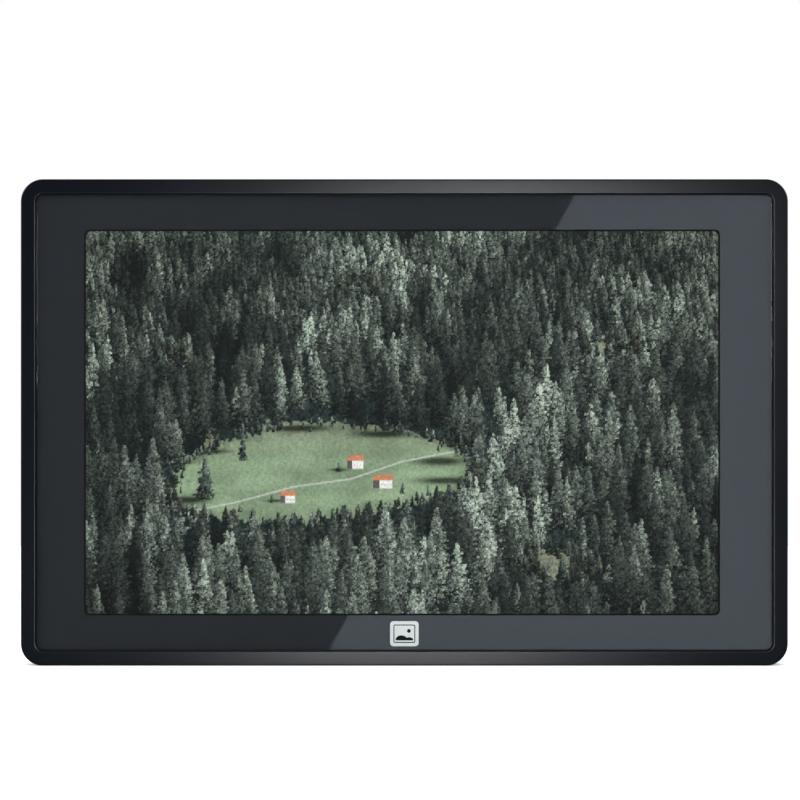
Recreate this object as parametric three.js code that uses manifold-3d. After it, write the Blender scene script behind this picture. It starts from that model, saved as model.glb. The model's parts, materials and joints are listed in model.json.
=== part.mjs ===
// Ten-inch digital photo frame: glass front in a rounded rim, display module, electronics,
// and a rear cover with a fold-out stand. Millimetres, +X right seen from the front,
// +Y towards the back, +Z up. Everything is modelled about the centre of the front plane,
// and the last group moves it to the part's own frame, at the bottom centre of its box.
import * as THREE from "three";
import { mergeVertices } from "three/addons/utils/BufferGeometryUtils.js";
import Module from "manifold-3d";

const wasm = await Module();
wasm.setup();

// Case. The rim's front plane is y = 0 and the back plane is y = caseDepth.
const caseWidth = 263;
const caseHeight = 166.8;
const caseDepth = 20;
const caseCorner = 7.6;
const wall = 2;
const backEdge = 3;
const skirtDepth = 8;
const seam = 0.25;
const lipThickness = 1.2;
const lipReach = 2;
const layerGap = 0.05; // between layers that lie on each other
const slip = 0.25; // round a piece that sits in another

// Front rim, glass and the window printed on it.
const rimWidth = 5;
const rimRound = 1;
const rimChamfer = 0.4;
const glassGap = 0.4;
const glassSink = 0.3;
const glassThickness = 1.6;
const inkThickness = 0.15;
const badgeInk = 0.05;
const tapeThickness = 0.4;
const ledgeThickness = 1.5;
const pictureWidth = 217;
const pictureHeight = 131.2;
const pictureShift = -0.8; // the picture sits a little left of the middle
const pictureCorner = 1.8;
const badgeWidth = 9.8;
const badgeHeight = 8.6;
const badgeCorner = 1;
const badgeRise = 5.5; // of the badge's centre above the glass's lower edge

// Display module.
const moduleSideBorder = 5.8;
const moduleTopBorder = 6.1;
const cellThickness = 1.1;
const filmThickness = 0.3;
const filmInset = 1.4;
const guideThickness = 1.2;
const sheetMetal = 0.4;
const foamThickness = 0.5;
const pocketGap = 0.6; // round the module in the front frame
const strapWidth = 15;
const strapThickness = 0.8;
const strapLap = 4;
const strapHeight = 104;
const strapScrewRise = 47;
const strapBoss = 2.8;

// Screws: shank radius, head radius and head height of each size.
const caseScrew = { shank: 1.3, head: 2.4, rise: 1.7 };
const smallScrew = { shank: 0.9, head: 1.9, rise: 1.2 };
const threadGap = 0.12;
const screwPost = 3.2;
const screwCornerInset = 10.8;
const screwSeatDepth = 4; // of the head's seat below the back plane
const screwReach = 3.5; // of the shank into the front frame

// Main board with its sockets on the right-hand edge, parts facing the back.
const boardThickness = 1.6;
const boardWidth = 86;
const boardHeight = 72;
const boardGap = 1.2; // from the case lip to the board
const boardClear = 0.3; // from the straps to the board's screw heads
const boardScrewInset = 4;
const boardBoss = 3;
const cardSlot = { width: 26, rise: 2.9, length: 28, centre: -14, throat: 24.3, throatRise: 2.2 };
const usbPort = { width: 13.1, rise: 5.8, length: 14, centre: 10, shell: 0.5, tongue: 1.8 };
const powerJack = { width: 9, rise: 6.5, length: 12, centre: 24.4, bore: 2.4, pin: 0.7 };
const socketSetback = 2.2; // of the sockets behind the case's side face
const socketGap = 0.4; // round a socket's mouth in the case wall
const processorSize = 15;
const processorRise = 1.4;
const sinkSize = 24;
const sinkRise = 4;
const sinkFins = 6;

// Buttons in a row by the top edge, and the board behind them.
const buttonNames = ["power", "menu", "previous", "select", "next"];
const buttonPitch = 11.5;
const buttonWidth = 8;
const buttonHeight = 4.4;
const buttonProud = 0.6;
const buttonTravel = 0.4;
const buttonGap = 0.2;
const buttonFlange = 0.9;
const buttonRowX = 84;
const buttonRowZ = 66;
const switchSize = 4.6;
const switchBody = 1.7;
const switchPlunger = 0.6;
const buttonBoardFront = 13.3;
const buttonBoardHeight = 11;
const buttonBoardMargin = 5.5;
const buttonBoardThickness = 1;

// Speakers behind slots in the lower corners.
const speakerWidth = 40;
const speakerHeight = 18;
const speakerDepth = 5;
const speakerX = 82;
const speakerZ = -56;
const speakerRail = 1.2;
const wireRadius = 0.55;

// Stand: leg, hinge pin and rubber end. The leg folds flat into a pocket in the cover.
const hingeZ = 20;
const legTipRise = 7.4; // of the folded leg's end above the case's lower edge
const legTopWidth = 50;
const legTipWidth = 40;
const legCorner = 4;
const legThickness = 5.2;
const legSkin = 1.5;
const legSink = 0.1; // of the folded leg below the back plane
const legRimWall = 1.8;
const legSwing = 32; // degrees
const legRib = 1.2;
const pocketSlip = 0.5;
const pocketFloorGap = 0.3;
const pocketWall = 1.6;
const stopGap = 0.12;
const pinRadius = 1.25;
const pinGap = 0.08;
const pinGrip = 3;
const hingeEar = 4.2;
const scoopReach = 11;
const scoopHeight = 20;
const scoopRise = 19; // of the finger scoops' centre above the case's lower edge
const scoopDepth = 4.8;
const tipPadWidth = 28;
const tipPadDepth = 2.2;
const tipPadProud = 0.5;
const tipPadThickness = 3;

// Details of the rear cover.
const footLength = 40;
const footWidth = 6.2;
const footDepth = 1;
const footX = 85;
const keyholeHead = 4.2;
const keyholeSlot = 2.2;
const keyholeRun = 8;
const hangSpacing = 116;
const hangZ = 48;
const sideHangX = -100;
const sideHangSpacing = 60;
const ventCount = 9;
const ventPitch = 5;
const ventWidth = 1.8;
const ventHeight = 24;
const ventZ = 12;
const grilleCount = 9;
const grillePitch = 3.6;
const grilleWidth = 1.5;
const grilleHeight = 12;

// Levels that follow from the sizes above.
const glassFront = glassSink;
const glassBack = glassFront + glassThickness;
const maskFront = glassBack + layerGap + badgeInk + layerGap;
const maskBack = maskFront + inkThickness;
const tapeFront = maskBack + layerGap;
const ledgeFront = tapeFront + tapeThickness + layerGap;
const ledgeBack = ledgeFront + ledgeThickness;
const foamBack = tapeFront + foamThickness;
const moduleFront = foamBack + layerGap;
const cellFront = moduleFront + sheetMetal + layerGap;
const cellBack = cellFront + cellThickness;
const filmFront = cellBack + layerGap;
const guideFront = filmFront + filmThickness + layerGap;
const guideBack = guideFront + guideThickness;
const reflectorFront = guideBack + layerGap;
const trayFloor = reflectorFront + filmThickness + layerGap;
const moduleBack = trayFloor + sheetMetal;
const strapFront = moduleBack + layerGap;
const strapBack = strapFront + strapThickness;
const coverFront = skirtDepth + seam;
const backInside = caseDepth - wall;
const boardFront = strapBack + boardClear + smallScrew.rise;
const boardBack = boardFront + boardThickness;
const screwSeat = caseDepth - screwSeatDepth;
const lipInset = wall + slip + lipThickness;

const glassWidth = caseWidth - 2 * (rimWidth + glassGap);
const glassHeight = caseHeight - 2 * (rimWidth + glassGap);
const glassCorner = caseCorner - rimWidth - glassGap;
const moduleWidth = pictureWidth + 2 * moduleSideBorder;
const moduleHeight = pictureHeight + 2 * moduleTopBorder;
const boardRight = caseWidth / 2 - lipInset - boardGap;
const boardLeft = boardRight - boardWidth;
const boardScrewZ = boardHeight / 2 - boardScrewInset;
const socketMouth = caseWidth / 2 - socketSetback;
const strapScrewX = (caseWidth / 2 - lipInset + pictureShift + moduleWidth / 2) / 2;
const screwX = caseWidth / 2 - screwCornerInset;
const screwZ = caseHeight / 2 - screwCornerInset;
const topScrewZ = caseHeight / 2 - lipInset - screwPost - 0.4;
const caseScrewPlaces = [
  [-screwX, screwZ],
  [screwX, screwZ],
  [-screwX, -screwZ],
  [screwX, -screwZ],
  [0, topScrewZ],
];

const hingeY = caseDepth - legSink - legThickness / 2;
const legInside = caseDepth - legSink - legThickness;
const legTipZ = -caseHeight / 2 + legTipRise;
const swing = THREE.MathUtils.degToRad(legSwing);
const pocketTop = hingeZ + (legThickness / 2) * (Math.sin(swing) + Math.cos(swing)) + stopGap;
const pocketBottom = legTipZ - tipPadProud - pocketSlip;
const pocketFloor = legInside - pocketFloorGap;
const pinHalf = legTopWidth / 2 + pocketSlip + pinGrip;

const curveSteps = 5;
const roundSides = 24;

// Colours of the finishes.
const finish = (color, roughness, metalness = 0, extra = {}) =>
  new THREE.MeshStandardMaterial({ color, roughness, metalness, ...extra });
const rimLacquer = finish(0x17191c, 0.3);
const coverPlastic = finish(0x1b1c1e, 0.75);
const legPlastic = finish(0x1e1f21, 0.7);
const clearGlass = finish(0xe8eef0, 0.05, 0, { transparent: true, opacity: 0.2 });
const greyInk = finish(0x2b2f33, 0.4);
const silverInk = finish(0xc4c6c8, 0.4, 0.3);
const blackTape = finish(0x101010, 0.9);
const screenImage = finish(0x3b4a40, 0.3);
const clearAcrylic = finish(0xdfe6e8, 0.1);
const whiteFilm = finish(0xf0f0ee, 0.6);
const zincSteel = finish(0x9b9ea2, 0.35, 0.9);
const plugSteel = finish(0xc0c2c5, 0.25, 1);
const boardGreen = finish(0x1d4a2c, 0.5);
const chipBlack = finish(0x151617, 0.6);
const sinkMetal = finish(0x8d9094, 0.4, 0.9);
const amberFilm = finish(0xb4672a, 0.5);
const rubberBlack = finish(0x121212, 0.95);
const redWire = finish(0x9c2420, 0.6);

// A closed geometry as a solid that can be joined and cut.
function solid(geometry) {
  const bare = geometry.index ? geometry.toNonIndexed() : geometry.clone();
  bare.deleteAttribute("normal");
  bare.deleteAttribute("uv");
  const merged = mergeVertices(bare, 1e-4);
  return new wasm.Manifold(
    new wasm.Mesh({
      numProp: 3,
      vertProperties: merged.attributes.position.array,
      triVerts: new Uint32Array(merged.index.array),
    }),
  );
}

function joined(solids) {
  return solids.reduce((whole, next) => whole.add(next));
}

function cut(body, solids) {
  return solids.reduce((left, next) => left.subtract(next), body);
}

function mesh(name, body, material) {
  const made = body.getMesh();
  const geometry = new THREE.BufferGeometry();
  geometry.setAttribute("position", new THREE.BufferAttribute(made.vertProperties, 3));
  geometry.setIndex(new THREE.BufferAttribute(made.triVerts, 1));
  geometry.computeVertexNormals();
  const piece = new THREE.Mesh(geometry, material);
  piece.name = name;
  return piece;
}

// Rounded rectangle in the X-Z plane, drawn on a path or a shape.
function outline(width, height, corner, x = 0, z = 0, path = new THREE.Shape()) {
  const right = x + width / 2 - corner;
  const left = x - width / 2 + corner;
  const top = z + height / 2 - corner;
  const bottom = z - height / 2 + corner;
  path.moveTo(right + corner, bottom);
  path.absarc(right, top, corner, 0, Math.PI / 2);
  path.absarc(left, top, corner, Math.PI / 2, Math.PI);
  path.absarc(left, bottom, corner, Math.PI, 1.5 * Math.PI);
  path.absarc(right, bottom, corner, 1.5 * Math.PI, 2 * Math.PI);
  return path;
}

// A flat shape in the X-Z plane given its thickness along Y.
function plate(shape, front, back, steps = curveSteps) {
  const made = new THREE.ExtrudeGeometry(shape, {
    depth: back - front,
    bevelEnabled: false,
    curveSegments: steps,
  });
  made.rotateX(Math.PI / 2);
  made.translate(0, back, 0);
  return solid(made);
}

// A flat shape in the Y-Z plane given its width along X.
function crossPlate(shape, left, right, steps = curveSteps) {
  const made = new THREE.ExtrudeGeometry(shape, {
    depth: right - left,
    bevelEnabled: false,
    curveSegments: steps,
  });
  made.rotateY(Math.PI / 2);
  made.rotateX(Math.PI / 2);
  made.translate(left, 0, 0);
  return solid(made);
}

function block(left, right, front, back, bottom, top) {
  const made = new THREE.BoxGeometry(right - left, back - front, top - bottom);
  made.translate((left + right) / 2, (front + back) / 2, (bottom + top) / 2);
  return solid(made);
}

// A round bar along Y.
function rod(radius, front, back, x, z, sides = roundSides) {
  const made = new THREE.CylinderGeometry(radius, radius, back - front, sides);
  made.translate(x, (front + back) / 2, z);
  return solid(made);
}

// A round bar along X.
function crossRod(radius, left, right, y, z, sides = roundSides) {
  const made = new THREE.CylinderGeometry(radius, radius, right - left, sides);
  made.rotateZ(Math.PI / 2);
  made.translate((left + right) / 2, y, z);
  return solid(made);
}

function tube(radius, hole, front, back, x, z) {
  return rod(radius, front, back, x, z).subtract(rod(hole, front - 1, back + 1, x, z));
}

function ring(width, height, corner, holeWidth, holeHeight, holeCorner, front, back, shift = 0) {
  const shape = outline(width, height, corner);
  shape.holes.push(outline(holeWidth, holeHeight, holeCorner, shift, 0, new THREE.Path()));
  return plate(shape, front, back);
}

// The case outline moved in by an inset, as points in order round it.
function caseLoop(inset) {
  const corner = Math.max(caseCorner - inset, 0.3);
  const halfWidth = caseWidth / 2 - inset - corner;
  const halfHeight = caseHeight / 2 - inset - corner;
  const points = [];
  [[1, 1], [-1, 1], [-1, -1], [1, -1]].forEach(([sideX, sideZ], quarter) => {
    for (let step = 0; step <= curveSteps; step++) {
      const angle = ((quarter + step / curveSteps) * Math.PI) / 2;
      points.push([
        sideX * halfWidth + corner * Math.cos(angle),
        sideZ * halfHeight + corner * Math.sin(angle),
      ]);
    }
  });
  return points;
}

// A section of [inset, y] points carried round the case outline. An open section is
// capped at both ends; a closed one comes back to its first point.
function caseSweep(section, closed) {
  const loops = section.map(([inset, y]) => caseLoop(inset).map(([x, z]) => [x, y, z]));
  const count = loops[0].length;
  const vertices = loops.flat(2);
  const faces = [];
  const bands = closed ? loops.length : loops.length - 1;
  for (let band = 0; band < bands; band++) {
    const from = band * count;
    const to = ((band + 1) % loops.length) * count;
    for (let i = 0; i < count; i++) {
      const j = (i + 1) % count;
      faces.push(from + i, to + i, to + j, from + i, to + j, from + j);
    }
  }
  if (!closed) {
    const last = (loops.length - 1) * count;
    for (let i = 1; i < count - 1; i++) {
      faces.push(0, i, i + 1);
      faces.push(last, last + i + 1, last + i);
    }
  }
  const geometry = new THREE.BufferGeometry();
  geometry.setAttribute("position", new THREE.Float32BufferAttribute(vertices, 3));
  geometry.setIndex(faces);
  return solid(geometry);
}

// Points of a quarter round from one edge to the next, as [inset, y].
function quarterRound(radius, inset, y, from, steps = 5) {
  const points = [];
  for (let step = 0; step <= steps; step++) {
    const angle = from + (step / steps) * (Math.PI / 2);
    points.push([inset - radius * Math.cos(angle), y + radius * Math.sin(angle)]);
  }
  return points;
}

// A cross is cut in the head, which faces the back or the front.
function screw(size, x, z, seat, reach, towardsBack = true) {
  const way = towardsBack ? 1 : -1;
  const span = (a, b) => [Math.min(a, b), Math.max(a, b)];
  const [headFront, headBack] = span(seat, seat + way * size.rise);
  const [shankFront, shankBack] = span(seat + way * 0.1, seat - way * reach);
  const head = rod(size.head, headFront, headBack, x, z);
  const shank = rod(size.shank, shankFront, shankBack, x, z, 12);
  const [slotFront, slotBack] = span(seat + way * size.rise * 0.45, seat + way * (size.rise + 1));
  const arm = size.head * 0.62;
  const half = size.head * 0.13;
  return cut(joined([head, shank]), [
    block(x - arm, x + arm, slotFront, slotBack, z - half, z + half),
    block(x - half, x + half, slotFront, slotBack, z - arm, z + arm),
  ]);
}

function frontFrame() {
  const rim = caseSweep(
    [
      [rimWidth, rimChamfer],
      [rimWidth - rimChamfer, 0],
      ...quarterRound(rimRound, rimRound, rimRound, -Math.PI / 2),
      [0, skirtDepth],
      [wall, skirtDepth],
      [wall, ledgeBack],
      [rimWidth, ledgeBack],
    ],
    true,
  );
  const ledge = ring(
    caseWidth - 2 * wall - slip,
    caseHeight - 2 * wall - slip,
    caseCorner - wall,
    moduleWidth + 2 * pocketGap,
    moduleHeight + 2 * pocketGap,
    1,
    ledgeFront,
    ledgeBack,
    pictureShift,
  );
  const posts = caseScrewPlaces.map(([x, z]) => rod(screwPost, ledgeFront, skirtDepth, x, z));
  const strapPosts = strapPlaces().map(([x, z]) => rod(strapBoss, ledgeFront, moduleBack, x, z));
  const caseHole = caseScrew.shank + threadGap;
  const strapHole = smallScrew.shank + threadGap;
  const holes = [
    ...caseScrewPlaces.map(([x, z]) =>
      rod(caseHole, skirtDepth - screwReach - 0.3, skirtDepth + 1, x, z, 12),
    ),
    ...strapPlaces().map(([x, z]) => rod(strapHole, ledgeFront + 0.5, moduleBack + 1, x, z, 12)),
  ];
  return cut(joined([rim, ledge, ...posts, ...strapPosts]), holes);
}

function strapPlaces() {
  return [-1, 1].flatMap((side) =>
    [strapScrewRise, -strapScrewRise].map((z) => [side * strapScrewX, z]),
  );
}

function frontGlass() {
  return plate(outline(glassWidth, glassHeight, glassCorner), glassFront, glassBack);
}

function glassMask() {
  const edge = 2 * layerGap;
  return ring(
    glassWidth - edge,
    glassHeight - edge,
    glassCorner - layerGap,
    pictureWidth,
    pictureHeight,
    pictureCorner,
    maskFront,
    maskBack,
    pictureShift,
  );
}

function badge() {
  const z = -glassHeight / 2 + badgeRise;
  const front = glassBack + layerGap;
  return plate(outline(badgeWidth, badgeHeight, badgeCorner, 0, z), front, front + badgeInk);
}

function glassTape() {
  return ring(
    glassWidth - 1,
    glassHeight - 1,
    glassCorner - 0.5,
    moduleWidth + 2 * pocketGap + 1,
    moduleHeight + 2 * pocketGap + 1,
    1,
    tapeFront,
    tapeFront + tapeThickness,
    pictureShift,
  );
}

// A ring as large as the display module, with a hole round the picture.
function moduleRing(front, back, grow) {
  const shape = outline(moduleWidth, moduleHeight, 0.8, pictureShift);
  shape.holes.push(
    outline(
      pictureWidth + 2 * grow,
      pictureHeight + 2 * grow,
      0.8,
      pictureShift,
      0,
      new THREE.Path(),
    ),
  );
  return plate(shape, front, back, 3);
}

// The stamped front shell of the display: a flat ring with walls down its sides.
function moduleBezel() {
  const face = moduleRing(moduleFront, moduleFront + sheetMetal, 0.6);
  const outside = moduleSheet(0, moduleFront, moduleBack - 1);
  const inside = moduleSheet(sheetMetal, moduleFront - 1, moduleBack);
  return joined([face, outside.subtract(inside)]);
}

// A full sheet of the display module, with an inset taken off every side.
function moduleSheet(inset, front, back) {
  const width = moduleWidth - 2 * inset;
  const height = moduleHeight - 2 * inset;
  return plate(outline(width, height, 0.8, pictureShift), front, back, 3);
}

// The tray's walls stand just inside the front shell's.
function backlightTray() {
  const inset = 2 * sheetMetal + layerGap;
  const outside = moduleSheet(inset, guideFront, moduleBack);
  return outside.subtract(moduleSheet(inset + sheetMetal, trayFloor - 5, trayFloor));
}

function ledStrip() {
  const bottom = -moduleHeight / 2 + sheetMetal * 3 + slip;
  const half = pictureWidth / 2;
  const strip = block(
    pictureShift - half,
    pictureShift + half,
    guideFront,
    guideBack,
    bottom,
    bottom + 0.6,
  );
  const lamps = [];
  for (let x = 6 - half; x <= half - 6; x += 12) {
    const centre = pictureShift + x;
    lamps.push(
      block(centre - 1.8, centre + 1.8, guideFront + 0.2, guideBack - 0.2, bottom + 0.5, bottom + 1.3),
    );
  }
  return joined([strip, ...lamps]);
}

function lightGuide() {
  const border = sheetMetal * 3 + slip;
  const width = moduleWidth - 2 * border;
  const height = moduleHeight - 2 * border - 1.6;
  return plate(outline(width, height, 0.8, pictureShift, 0.8), guideFront, guideBack, 3);
}

// The ribbon from the back of the display to the front face of the main board.
function ribbonCable() {
  const low = moduleBack + 0.25;
  const high = boardFront - 0.45;
  const start = boardLeft - 34;
  const bend = boardLeft - 6;
  const end = boardLeft + 10;
  const path = new THREE.Shape();
  path.moveTo(start, low);
  path.lineTo(bend, low);
  path.bezierCurveTo(bend + 4, low, bend + 4, high, bend + 8, high);
  path.lineTo(end, high);
  path.lineTo(end, high + 0.2);
  path.lineTo(bend + 8, high + 0.2);
  path.bezierCurveTo(bend + 4, high + 0.2, bend + 4, low + 0.2, bend, low + 0.2);
  path.lineTo(start, low + 0.2);
  const made = new THREE.ExtrudeGeometry(path, {
    depth: 24,
    bevelEnabled: false,
    curveSegments: 6,
  });
  made.translate(0, 0, -12);
  return solid(made);
}

function strap(side) {
  const inner = side * (moduleWidth / 2) + pictureShift - side * strapLap;
  const outer = side * (strapScrewX + strapBoss);
  const left = Math.min(inner, outer);
  const right = Math.max(inner, outer);
  const shape = outline(right - left, strapHeight, 1.5, (left + right) / 2, 0);
  const body = plate(shape, strapFront, strapBack, 4);
  const holes = strapPlaces().map(([x, z]) =>
    rod(smallScrew.shank + threadGap, strapFront - 1, strapBack + 1, x, z, 12),
  );
  return cut(body, holes);
}

function boardPlaces() {
  return [boardLeft + boardScrewInset, boardRight - boardScrewInset].flatMap((x) =>
    [boardScrewZ, -boardScrewZ].map((z) => [x, z]),
  );
}

function mainBoard() {
  const shape = outline(boardWidth, boardHeight, 1.5, (boardLeft + boardRight) / 2, 0);
  const body = plate(shape, boardFront, boardBack, 4);
  const holes = boardPlaces().map(([x, z]) =>
    rod(smallScrew.shank + threadGap, boardFront - 1, boardBack + 1, x, z, 12),
  );
  return cut(body, holes);
}

const chipX = () => (boardLeft + boardRight) / 2 - 12;

function processor() {
  const half = processorSize / 2;
  const front = boardBack + layerGap;
  const x = chipX();
  return block(x - half, x + half, front, front + processorRise, 8 - half, 8 + half);
}

function heatSink() {
  const half = sinkSize / 2;
  const front = boardBack + 2 * layerGap + processorRise;
  const x = chipX();
  const base = block(x - half, x + half, front, front + 1.2, 8 - half, 8 + half);
  const pitch = (sinkSize - 1) / (sinkFins - 1);
  const fins = [];
  for (let fin = 0; fin < sinkFins; fin++) {
    const left = x - half + fin * pitch;
    fins.push(block(left, left + 1, front + 1, front + sinkRise, 8 - half, 8 + half));
  }
  return joined([base, ...fins]);
}

function memoryChip() {
  const front = boardBack + layerGap;
  const x = chipX();
  return block(x - 7, x + 7, front, front + 1.1, -20, -10);
}

function wirelessModule() {
  const front = boardBack + layerGap;
  const x = boardLeft + 15;
  const body = block(x - 7, x + 7, front, front + 0.8, -33, -19);
  const can = block(x - 6, x + 6, front + 0.7, front + 2.2, -29, -20);
  return joined([body, can]);
}

// Sockets open towards +X, with their mouths just inside the case's side wall.
function socketBody(socket) {
  const front = boardBack + layerGap;
  return block(
    socketMouth - socket.length,
    socketMouth,
    front,
    front + socket.rise,
    socket.centre - socket.width / 2,
    socket.centre + socket.width / 2,
  );
}

function usbSocket() {
  const front = boardBack + layerGap;
  const middle = front + usbPort.rise / 2;
  const half = usbPort.width / 2 - usbPort.shell;
  const cavity = block(
    socketMouth - usbPort.length + 2,
    socketMouth + 1,
    front + usbPort.shell,
    front + usbPort.rise - usbPort.shell,
    usbPort.centre - half,
    usbPort.centre + half,
  );
  const tongue = block(
    socketMouth - usbPort.length + 1,
    socketMouth - 1.5,
    middle + 0.1,
    middle + usbPort.tongue,
    usbPort.centre - half + 0.7,
    usbPort.centre + half - 0.7,
  );
  return joined([socketBody(usbPort).subtract(cavity), tongue]);
}

function memoryCardSlot() {
  const front = boardBack + layerGap;
  const lowest = front + (cardSlot.rise - cardSlot.throatRise) / 2;
  const cavity = block(
    socketMouth - cardSlot.length + 2,
    socketMouth + 1,
    lowest,
    lowest + cardSlot.throatRise,
    cardSlot.centre - cardSlot.throat / 2,
    cardSlot.centre + cardSlot.throat / 2,
  );
  return socketBody(cardSlot).subtract(cavity);
}

function powerSocket() {
  const middle = boardBack + layerGap + powerJack.rise / 2;
  const deep = socketMouth - powerJack.length + 3;
  const bore = crossRod(powerJack.bore, deep, socketMouth + 1, middle, powerJack.centre, 12);
  const pin = crossRod(powerJack.pin, deep - 1, socketMouth - 1, middle, powerJack.centre, 6);
  return joined([socketBody(powerJack).subtract(bore), pin]);
}

// How far a socket's middle lies behind the front plane.
function socketMiddle(socket) {
  return boardBack + layerGap + socket.rise / 2;
}

const buttonX = (index) => buttonRowX + (index - (buttonNames.length - 1) / 2) * buttonPitch;

function button(index) {
  const x = buttonX(index);
  const flangeBack = backInside - layerGap;
  const cap = plate(
    outline(buttonWidth, buttonHeight, buttonHeight / 2 - 0.01, x, buttonRowZ),
    flangeBack - 0.3,
    caseDepth + buttonProud,
    6,
  );
  const flange = plate(
    outline(buttonWidth + 2, buttonHeight + 2, 1.5, x, buttonRowZ),
    flangeBack - buttonFlange,
    flangeBack,
    3,
  );
  const stemFront = buttonBoardFront + buttonBoardThickness + switchRise() + buttonTravel + 0.15;
  const stem = rod(1.1, stemFront, flangeBack - buttonFlange + 0.1, x, buttonRowZ, 12);
  return joined([cap, flange, stem]);
}

function switchRise() {
  return switchBody + switchPlunger + layerGap;
}

function tactSwitch(index) {
  const x = buttonX(index);
  const half = switchSize / 2;
  const front = buttonBoardFront + buttonBoardThickness + layerGap;
  const body = block(x - half, x + half, front, front + switchBody, buttonRowZ - half, buttonRowZ + half);
  const top = front + switchBody;
  return joined([body, rod(1, top - 0.1, top + switchPlunger, x, buttonRowZ, 12)]);
}

function buttonBoardSpan() {
  const reach = ((buttonNames.length - 1) / 2) * buttonPitch + buttonWidth / 2 + buttonBoardMargin;
  return [buttonRowX - reach, buttonRowX + reach];
}

function buttonBoard() {
  const [left, right] = buttonBoardSpan();
  const shape = outline(right - left, buttonBoardHeight, 1, (left + right) / 2, buttonRowZ);
  const back = buttonBoardFront + buttonBoardThickness;
  const holes = [left + 2, right - 2].map((x) =>
    rod(0.9, buttonBoardFront - 1, back + 1, x, buttonRowZ, 12),
  );
  return cut(plate(shape, buttonBoardFront, back, 3), holes);
}

function speaker(side) {
  const back = backInside - slip;
  const front = back - speakerDepth;
  const x = side * speakerX;
  const box = plate(outline(speakerWidth, speakerHeight, 2, x, speakerZ), front, back, 4);
  const cone = plate(
    outline(speakerWidth - 6, speakerHeight - 5, (speakerHeight - 5) / 2 - 0.01, x, speakerZ),
    back - 1.2,
    back + 1,
    6,
  );
  const cap = plate(
    outline(speakerWidth - 20, speakerHeight - 11, 3, x, speakerZ),
    back - 1.4,
    back - 0.4,
    6,
  );
  return joined([box.subtract(cone), cap]);
}

// Where both speaker leads plug in, at the lower edge of the main board.
const speakerSocketX = boardLeft + 36;
const speakerSocketZ = -boardHeight / 2 + 1;

function speakerSocket() {
  const front = boardBack + layerGap;
  return block(
    speakerSocketX - 5,
    speakerSocketX + 5,
    front,
    front + 3.5,
    speakerSocketZ,
    speakerSocketZ + 5,
  );
}

// A lead from the inner end of a speaker, across the back of the display, to the socket.
function speakerWire(side) {
  const start = side * (speakerX - speakerWidth / 2 - layerGap * 6);
  const plug = speakerSocketX + side * 2.5;
  const low = speakerZ + 3;
  const high = backInside - 3.5;
  const across = boardFront + 0.6;
  const plugY = boardBack + layerGap + 2 * wireRadius;
  const bend = Math.min(speakerSocketZ, speakerZ + speakerHeight / 2 + 6) - 8 - side * 3;
  const long = [[start + 24, across, bend], [start + 84, across, bend + 1], [plug - 12, across + 1, bend]];
  const short = [[start - 4.5, across + 1, low + 1], [plug - 16, across + 1, bend - 1]];
  const points = [
    [start, high, low],
    [start - side * 3, high, low],
    ...(side > 0 ? short : long),
    [plug, plugY, speakerSocketZ - 4],
    [plug, plugY, speakerSocketZ - layerGap * 2],
  ];
  const curve = new THREE.CatmullRomCurve3(points.map(([x, y, z]) => new THREE.Vector3(x, y, z)));
  const section = new THREE.Shape();
  section.absarc(0, 0, wireRadius, 0, 2 * Math.PI);
  const steps = Math.round(Math.min(curve.getLength() / 3.5, 40));
  return solid(
    new THREE.ExtrudeGeometry(section, { steps, extrudePath: curve, curveSegments: 4 }),
  );
}

// The leg's outline in the X-Z plane, grown on every side.
function legOutline(grow, top, bottom) {
  const span = hingeZ - legTipZ;
  const halfAt = (z) =>
    legTipWidth / 2 + ((legTopWidth - legTipWidth) / 2) * ((z - legTipZ) / span) + grow;
  const corner = Math.max(legCorner + grow, 0.3);
  const shape = new THREE.Shape();
  shape.moveTo(halfAt(top), top);
  shape.lineTo(-halfAt(top), top);
  shape.lineTo(-halfAt(bottom), bottom + corner);
  shape.absarc(-halfAt(bottom) + corner, bottom + corner, corner, Math.PI, 1.5 * Math.PI);
  shape.absarc(halfAt(bottom) - corner, bottom + corner, corner, 1.5 * Math.PI, 2 * Math.PI);
  return shape;
}

function standLeg() {
  const half = legThickness / 2;
  const top = hingeZ + half;
  const outside = legInside + legThickness;
  const blank = plate(legOutline(0, top, legTipZ), legInside, outside);
  const side = new THREE.Shape();
  side.moveTo(legInside, legTipZ - 1);
  side.lineTo(outside, legTipZ - 1);
  side.lineTo(outside, top);
  side.lineTo(hingeY, top);
  side.absarc(hingeY, hingeZ, half, Math.PI / 2, Math.PI);
  const profile = crossPlate(side, -legTopWidth, legTopWidth);
  const bore = crossRod(pinRadius + pinGap, -legTopWidth, legTopWidth, hingeY, hingeZ);
  const tipSlot = block(
    -tipPadWidth / 2 - layerGap,
    tipPadWidth / 2 + layerGap,
    hingeY - tipPadThickness / 2 - layerGap,
    hingeY + tipPadThickness / 2 + layerGap,
    legTipZ - 1,
    legTipZ + tipPadDepth,
  );
  return cut(blank.intersect(profile), [bore, tipSlot, ...legCells()]);
}

// The hollows on the leg's inner face, with ribs left between them.
function legCells() {
  const rows = 3;
  const columns = 3;
  const bottom = legTipZ + tipPadDepth + 3;
  const top = hingeZ - legThickness;
  const width = legTipWidth - 2 * legRimWall;
  const cellHeight = (top - bottom - (rows - 1) * legRib) / rows;
  const cellWidth = (width - (columns - 1) * legRib) / columns;
  const cells = [];
  for (let row = 0; row < rows; row++) {
    for (let column = 0; column < columns; column++) {
      const left = -width / 2 + column * (cellWidth + legRib);
      const low = bottom + row * (cellHeight + legRib);
      cells.push(
        block(
          left,
          left + cellWidth,
          legInside - 1,
          legInside + legThickness - legSkin,
          low,
          low + cellHeight,
        ),
      );
    }
  }
  return cells;
}

function hingePin() {
  return crossRod(pinRadius, -pinHalf + layerGap, pinHalf - layerGap, hingeY, hingeZ);
}

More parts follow.
